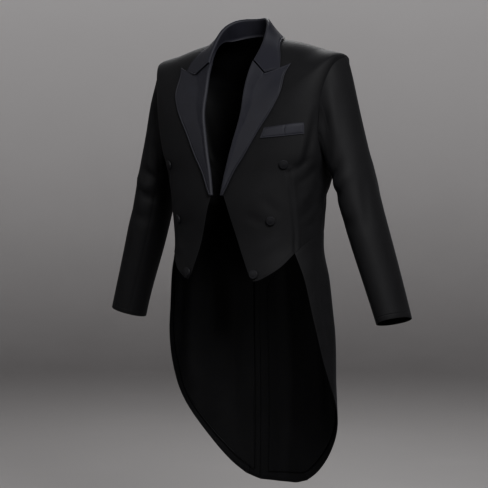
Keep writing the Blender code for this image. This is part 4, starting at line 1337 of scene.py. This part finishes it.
@dataclass(frozen=True)
class Facings:
    """Satin lapels with peaks, the collar, and the breast pocket's welt."""

    lines: CuttingLines
    room: Workroom
    wall: float = 0.0020
    roll_radius: float = 0.0035
    roll_foot: float = 0.0011
    peak_gap: float = -0.0002
    lift: float = 0.0018
    spring: float = 0.0042
    spring_length: float = 0.020
    bead: float = 0.0034
    collar_end_on_peak: float = 0.58
    collar_steps: int = 96
    collar_softening: int = 40
    seat_gap: float = 0.0003
    stand_tuck: float = 0.0036
    layer_gap: float = 0.0008
    welt_wall: float = 0.0016
    fold_line: tuple[tuple[float, float, float], ...] = (
        (0.000, 0.019, 0.040), (0.025, 0.012, 0.041), (0.038, 0.001, 0.038), (0.048, -0.012, 0.031),
        (0.056, -0.026, 0.020), (0.0600, -0.041, 0.001), (0.0608, -0.0555, -0.023), (0.0592, -0.0702, -0.0428),
    )
    leaf_edge: tuple[Place, ...] = (
        (180.0, 0.011), (150.0, 0.010), (120.0, 0.011), (98.0, 0.014), (84.0, 0.018),
        (72.0, 0.025), (62.0, 0.039), (54.5, 0.057),
    )
    welt: tuple[Place, ...] = ((19.7, 0.216), (53.0, 0.226), (54.7, 0.2375), (18.4, 0.236))
    welt_fold: tuple[Place, ...] = ((35.2, 0.2195), (36.6, 0.2360))
    lapel_cut: Cut = Cut(0.115, 0.32, 0.0182, Held.FOLDED)
    collar_cut: Cut = Cut(0.43, 0.105, 0.032, Held.FOLDED)
    welt_cut: Cut = Cut(0.098, 0.025, 0.0022, Held.LAID)

    def beaded(self, height: Array, edge: Array) -> Array:
        """Adds the turned edge: a low bead at the rim and the stitched groove behind it."""
        bead = 0.00045 * np.exp(-(((edge - 0.0012) / 0.0014) ** 2))
        groove = 0.00040 * np.exp(-(((edge - self.bead) / 0.0012) ** 2))
        return height + bead - groove

    def lapel(self, side: Side) -> None:
        """A lapel: a small roll at the roll line, then a leaf along the front.

        The leaf's middle lies lift + spring · exp(−d/spring_length) over the front, d being the
        distance to the roll, and the roll is most of a circle from there down to its foot.
        """
        fine, body = self.lines.fineness, self.lines.body
        rows = 17 * fine
        top = joined(
            body.along((self.lines.gorge_start, self.lines.notch), 2 * fine),
            body.along((self.lines.notch, self.lines.peak_tip), 3 * fine),
        )
        bottom = body.along((self.lines.roll_line[-1], self.lines.lapel_edge[-1]), len(top) - 1)
        places = patch(top, bottom, self.lines.roll(rows), self.lines.leaf_edge(rows))
        surface, normals = body.creased(places, side), body.normals(places)
        surface[0] += self.peak_gap * square_to(surface[0], normals[0], surface[1])
        over = square_to(surface[:, 0], normals[:, 0], surface[:, 1])[:, None]
        up = normals[:, :1]
        distance = np.linalg.norm(surface - surface[:, :1], axis=-1)
        border = np.concatenate((surface[0, 2 * fine :], surface[1:, -1]))
        edge = distance_to(surface, border)
        height = self.beaded(self.lift + self.spring * np.exp(-distance / self.spring_length), edge)
        leaf = surface + normals * height[..., None]
        turns = np.radians(np.linspace(-90.0, -258.0, 11)[1:])[None, :, None]
        centre = self.lift + self.spring - self.roll_radius
        curl = surface[:, :1] + over * self.roll_radius * np.cos(turns) + up * (centre + self.roll_radius * np.sin(turns))
        foot = surface[:, :1] + over * self.roll_foot + up * (centre - self.roll_radius)
        points = np.concatenate((foot, curl, leaf), axis=1)
        across = np.cumsum(np.linalg.norm(np.diff(points, axis=1, prepend=points[:, :1]), axis=-1), axis=1)
        down = np.cumsum(np.linalg.norm(np.diff(points, axis=0, prepend=points[:1]), axis=-1), axis=0)
        far = np.full((points.shape[0], points.shape[1] - leaf.shape[1]), FAR_AWAY)
        stitch = np.concatenate((far, np.abs(edge - self.bead)), axis=1)
        grid = ClothGrid(points, -grid_normals(points), np.stack((across, down[:, -1:] + 0 * across), -1), stitch)
        up_share = (grid.normals[:, 11:] * normals).sum()
        if up_share < 0:
            grid.normals = -grid.normals
        node = f"lapel_{side.label}"
        satin = self.room.cloths.satin
        piece = shell_of(node + "_cloth", grid.placed(side), self.wall, satin, satin)
        self.room.hand_in(piece, node, Slot.SATIN, self.lapel_cut)

    def collar(self) -> None:
        """The collar: a stand up from the neck seam, a fold, and a leaf down to its edge.

        The stand's foot is tucked inside the neck seam by stand_tuck.
        The fold is a half circle round a smooth crest line. The leaf runs straight from it to its
        edge on the shoulders, sags to the notch at the front, and is lifted clear of the body.
        """
        body, lines = self.lines.body, self.lines
        tip, notch = np.array(lines.peak_tip), np.array(lines.notch)
        end = notch + self.collar_end_on_peak * (tip - notch)
        share = np.linspace(0, 1, self.collar_steps + 1)
        seat = body.along((lines.nape, (140.0, 0.0), *lines.neckline[::-1]), self.collar_steps)
        edge = body.eased_line(body.along((*self.leaf_edge, tuple(end)), self.collar_steps), self.collar_softening)
        gorge = np.array(lines.gorge_start)
        front_crest = body.smooth(gorge) + body.normals(gorge) * (self.lift + self.spring)
        crest_points = np.concatenate((np.array(self.fold_line), front_crest[None]))
        knots = np.concatenate(((0.0,), np.cumsum(np.linalg.norm(np.diff(crest_points, axis=0), axis=1))))
        crest = np.stack([monotone(share, knots / knots[-1], crest_points[:, axis]) for axis in range(3)], -1)
        crest = softened(np.concatenate((Side.RIGHT.mirrored(crest[:0:-1]), crest)), self.collar_softening)
        crest = crest[self.collar_steps :]
        seated = body.smooth(seat)
        inward = unit(np.cross(unit(np.gradient(seated, axis=0)), body.normals(seat)))
        inward *= np.sign((inward * (seated.mean(axis=0) * (0, 1, 0) - seated)).sum(-1, keepdims=True))
        foot = seated + inward * (self.wall / 2 + self.seat_gap)
        rim = body.smooth(edge) + body.normals(edge) * self.lift
        along = unit(np.gradient(crest, axis=0))
        up = crest - (foot + rim) / 2
        up = unit(up - (up * along).sum(-1, keepdims=True) * along)
        over = unit(np.cross(along, up))
        over *= np.sign((over * (rim - foot)).sum(-1, keepdims=True))
        centre = crest - up * self.roll_radius
        turns = np.radians(np.linspace(180.0, 0.0, 13))[None, :, None]
        fold = centre[:, None] + self.roll_radius * (over[:, None] * np.cos(turns) + up[:, None] * np.sin(turns))
        stand = foot[:, None] + (fold[:, :1] - foot[:, None]) * np.linspace(0, 1, 8)[:-1][None, :, None]
        tucked = foot - body.normals(seat) * self.stand_tuck
        stand = np.concatenate((tucked[:, None], stand), axis=1)
        drop = np.linspace(0, 1, 23)[1:]
        leaf = fold[:, -1:] + (rim[:, None] - fold[:, -1:]) * drop[None, :, None]
        notch_drop = 0.42
        dip = np.minimum(drop / notch_drop, (1 - drop) / (1 - notch_drop))
        ramp = np.clip((share - 0.72) / 0.28, 0, 1) ** 2
        start, stop = body.smooth(gorge), body.smooth(end)
        sag = body.smooth(notch) - (start + (stop - start) * notch_drop)
        leaf = leaf + (ramp[:, None] * dip[None, :])[..., None] * sag
        places = body.nearest(leaf, seat[:, None] + (edge - seat)[:, None] * drop[None, :, None])
        out = body.normals(places)
        height = ((leaf - body.smooth(places)) * out).sum(-1, keepdims=True)
        leaf = leaf + out * np.maximum(self.lift - height, 0)
        half = np.concatenate((stand, fold, leaf), axis=1)
        half[-1] += self.peak_gap * unit(half[-2] - half[-1])
        full = np.concatenate((Side.RIGHT.mirrored(half[:0:-1]), half))
        normals = grid_normals(full)
        middle = len(full) // 2
        if normals[middle, -4, 1] < 0:
            normals = -normals
        border = np.concatenate((full[0, 21:], full[1:-1, -1], full[-1, :20:-1]))
        rim_distance = distance_to(full[:, 21:], border)
        lift = np.concatenate((np.zeros((len(full), 21)), self.beaded(np.zeros_like(rim_distance), rim_distance)), axis=1)
        points = full + normals * lift[..., None]
        across = np.cumsum(np.linalg.norm(np.diff(points, axis=1, prepend=points[:, :1]), axis=-1), axis=1)
        run = np.cumsum(np.linalg.norm(np.diff(crest, axis=0, prepend=crest[:1]), axis=-1))
        run = np.concatenate((-run[:0:-1], run))
        chart = np.stack((np.broadcast_to(run[:, None], across.shape), across), -1)
        stitch = np.concatenate((np.full((len(full), 21), FAR_AWAY), np.abs(rim_distance - self.bead)), axis=1)
        satin = self.room.cloths.satin
        piece = shell_of("collar_cloth", ClothGrid(points, normals, chart, stitch), self.wall, satin, satin)
        self.room.hand_in(piece, "collar", Slot.SATIN, self.collar_cut)

    def breast_welt(self) -> None:
        """The welt of the left breast pocket, with the soft fold near its middle."""
        body = self.lines.body
        top, bottom = body.along(self.welt[:2], 60), body.along((self.welt[3], self.welt[2]), 60)
        places = patch(
            top, bottom, body.along((self.welt[0], self.welt[3]), 16), body.along((self.welt[1], self.welt[2]), 16)
        )
        surface, normals = body.creased(places, Side.LEFT), body.normals(places)
        fold = distance_to(surface, body.creased(body.along(self.welt_fold, 12), Side.LEFT))
        border = np.concatenate((surface[::-1, 0], surface[0], surface[:, -1], surface[-1, ::-1]))
        edge = distance_to(surface, border)
        crowned = 0.0004 * eased(edge / 0.008)
        height = self.layer_gap + self.welt_wall / 2 + crowned - 0.0007 * np.exp(-((fold / 0.0022) ** 2))
        grid = ClothGrid(
            surface + normals * height[..., None],
            normals,
            np.stack((np.radians(places[..., 0]) * 0.135, places[..., 1]), -1),
            np.minimum(fold, np.abs(edge - 0.0022)),
        )
        satin = self.room.cloths.satin
        piece = shell_of("breast_welt_cloth", grid, self.welt_wall, satin, satin)
        self.room.hand_in(piece, "breast_welt", Slot.SATIN, self.welt_cut)

    def build(self) -> None:
        """Lapels, collar and welt."""
        for side in Side:
            self.lapel(side)
        self.collar()
        self.breast_welt()


@dataclass(frozen=True)
class CoveredButtons:
    """Buttons covered in satin: a soft rim, a shallow ring inside it and a low crown."""

    lines: CuttingLines
    room: Workroom
    front: dict[str, Place] = field(
        default_factory=lambda: {
            "front_button_top": (42.0, 0.281),
            "front_button_middle": (38.0, 0.3975),
            "front_button_low": (23.2, 0.511),
        }
    )
    back: Place = (160.0, 0.432)
    radius: float = 0.0100
    height: float = 0.0052
    seat: float = 0.0005
    sides: int = 64
    # share of the radius, share of the height, from the seat to the crown
    profile: tuple[tuple[float, float], ...] = (
        (0.00, 0.00), (0.45, 0.00), (0.70, 0.00), (0.84, 0.03), (0.94, 0.14), (0.99, 0.30), (1.00, 0.46),
        (0.985, 0.62), (0.94, 0.76), (0.87, 0.86), (0.80, 0.895), (0.73, 0.88), (0.66, 0.875),
        (0.56, 0.90), (0.42, 0.945), (0.26, 0.98), (0.12, 0.995), (0.00, 1.00),
    )

    def button(self, name: str, place: Place, side: Side) -> None:
        """One button: its profile turned about the cloth's normal, with faint gathers at the rim."""
        body = self.lines.body
        spot = np.array(place)
        centre = side.mirrored(body.smooth(spot))
        normal = side.mirrored(body.normals(spot))
        across = unit(np.cross(normal, np.array((0.0, 0.0, 1.0))))
        up = np.cross(normal, across)
        table = np.array(self.profile)
        turns = 2 * np.pi * np.arange(self.sides) / self.sides
        rings = table[1:-1]
        gather = 1 + 0.012 * np.cos(16 * turns)[None, :] * np.exp(-(((rings[:, :1] - 0.95) / 0.06) ** 2))
        reach = (self.radius * rings[:, :1] * gather)[..., None]
        lift = (self.seat + self.height * rings[:, 1])[:, None, None]
        round_it = across * np.cos(turns)[:, None] + up * np.sin(turns)[:, None]
        points = centre + reach * round_it[None] + lift * normal
        ends = np.stack((centre + normal * self.seat, centre + normal * (self.seat + self.height)))
        count = len(rings)
        index = np.arange(count * self.sides).reshape(count, self.sides)
        ring = np.concatenate((index, index[:, :1]), axis=1)
        quads = quads_between(ring)[:, ::-1]
        low, high = count * self.sides, count * self.sides + 1
        base = np.stack((np.full(self.sides, low), ring[0, 1:], ring[0, :-1], ring[0, :-1]), -1)
        crown = np.stack((np.full(self.sides, high), ring[-1, :-1], ring[-1, 1:], ring[-1, 1:]), -1)
        triangles = np.concatenate(
            (quads[:, [0, 1, 2]], quads[:, [0, 2, 3]], base[:, :3], crown[:, :3])
        )
        everything = np.concatenate((points.reshape(-1, 3), ends))
        corners = everything[triangles] - centre
        if np.einsum("ij,ij->i", corners[:, 0], np.cross(corners[:, 1], corners[:, 2])).sum() < 0:
            triangles = triangles[:, ::-1]
        node = f"{name}_{side.label}"
        piece = mesh_of(node + "_cover", everything, triangles, [self.room.cloths.covering])
        flat = everything - centre
        chart_on(piece.data, np.stack((flat @ across, flat @ up), -1))
        lines_on(piece.data, np.full(len(everything), FAR_AWAY))
        self.room.hand_in(piece, node, Slot.SATIN)

    def build(self) -> None:
        """Three buttons a side on the fronts, and one a side at the back waist."""
        for side in Side:
            for name, place in self.front.items():
                self.button(name, place, side)
            self.button("back_button", self.back, side)


@dataclass(frozen=True)
class Lamp:
    """A soft square lamp: its direction from the coat, distance, size and power."""

    azimuth: float
    elevation: float
    distance: float
    size: float
    power: float
    tint: tuple[float, float, float] = (1.0, 1.0, 1.0)


@dataclass(frozen=True)
class Studio:
    """Camera at the photograph's angle, pale paper behind and below with painted shade darkening it towards the floor,
    and soft light.
    """

    target: tuple[float, float, float] = (-0.0148, -0.0096, -0.453)
    azimuth: float = 33.0
    elevation: float = 2.5
    distance: float = 3.6
    focal_pixels: float = 1636.0
    frame_pixels: float = 488.0
    floor_level: float = -1.30
    floor_radius: float = 4.6
    sweep_radius: float = 1.8
    wall_height: float = 5.5
    bowl_sides: int = 96
    world_tone: tuple[float, float, float] = (0.80, 0.80, 0.82)
    world_strength: float = 0.48
    lamps: tuple[Lamp, ...] = (
        Lamp(52.0, 31.0, 2.3, 0.8, 96.0),
        Lamp(-8.0, 4.0, 3.0, 1.0, 17.0),
        Lamp(-50.0, 26.0, 3.0, 1.2, 9.0),
        Lamp(213.0, 42.0, 3.0, 1.2, 62.0),
    )

    def direction(self, azimuth: float, elevation: float) -> Vector:
        """Unit vector from the coat towards an azimuth, 0 being its front, and an elevation."""
        a, e = math.radians(azimuth), math.radians(elevation)
        return Vector((math.sin(a) * math.cos(e), -math.cos(a) * math.cos(e), math.sin(e)))

    def camera(self) -> None:
        """The camera, with the photograph's distance and focal length."""
        data = bpy.data.cameras.new("camera")
        data.sensor_width = 36.0
        data.lens = self.focal_pixels / self.frame_pixels * data.sensor_width
        back = self.direction(self.azimuth, self.elevation)
        camera = bpy.data.objects.new("camera", data)
        camera.location = Vector(self.target) + back * self.distance
        camera.rotation_mode = "QUATERNION"
        camera.rotation_quaternion = (-back).to_track_quat("-Z", "Y")
        bpy.context.scene.collection.objects.link(camera)
        bpy.context.scene.camera = camera

    def backdrop(self) -> None:
        """A round paper bowl all round the coat: flat floor, a quarter circle, then an upright wall."""
        turns = np.radians(np.linspace(0, 90, 25))
        bend = np.stack(
            (self.floor_radius + self.sweep_radius * np.sin(turns), self.sweep_radius * (1 - np.cos(turns))), -1
        )
        wall_top = ((self.floor_radius + self.sweep_radius, self.wall_height),)
        profile = np.concatenate((((0.02, 0.0), (0.5 * self.floor_radius, 0.0)), bend, wall_top))
        round_it = 2 * np.pi * np.arange(self.bowl_sides) / self.bowl_sides
        points = np.stack(
            (
                profile[:, :1] * np.cos(round_it),
                profile[:, :1] * np.sin(round_it),
                np.broadcast_to(profile[:, 1:] + self.floor_level, (len(profile), self.bowl_sides)),
            ),
            -1,
        )
        index = np.arange(points.shape[0] * self.bowl_sides).reshape(points.shape[:2])
        faces = quads_between(np.concatenate((index, index[:, :1]), axis=1))
        mesh_of("paper_bowl", points.reshape(-1, 3), faces, [Backdrop().material()])

    def lights(self) -> None:
        """Area lamps round the coat, each facing it, and an even pale surrounding."""
        for number, lamp in enumerate(self.lamps):
            data = bpy.data.lights.new(f"lamp_{number}", "AREA")
            data.shape = "SQUARE"
            data.size = lamp.size
            data.energy = lamp.power
            data.color = lamp.tint
            light = bpy.data.objects.new(f"lamp_{number}", data)
            towards = self.direction(lamp.azimuth, lamp.elevation)
            light.location = Vector(self.target) + towards * lamp.distance
            light.rotation_mode = "QUATERNION"
            light.rotation_quaternion = (-towards).to_track_quat("-Z", "Y")
            bpy.context.scene.collection.objects.link(light)
        world = bpy.data.worlds.new("studio")
        world.use_nodes = True
        surround = world.node_tree.nodes["Background"]
        surround.inputs["Color"].default_value = (*self.world_tone, 1.0)
        surround.inputs["Strength"].default_value = self.world_strength
        bpy.context.scene.world = world

    def build(self) -> None:
        """Camera, backdrop and lights."""
        self.camera()
        self.backdrop()
        self.lights()


def main() -> None:
    """Builds the studio and every piece of the coat, in order."""
    logging.basicConfig(level=logging.INFO, format="%(name)s %(message)s")
    Studio().build()
    room = Workroom(Cloths())
    lines = CuttingLines(BodyForm())
    BodyPanels(lines, room).build()
    Sleeves(lines, room).build()
    Facings(lines, room).build()
    CoveredButtons(lines, room).build()


if __name__ == "__main__":
    main()
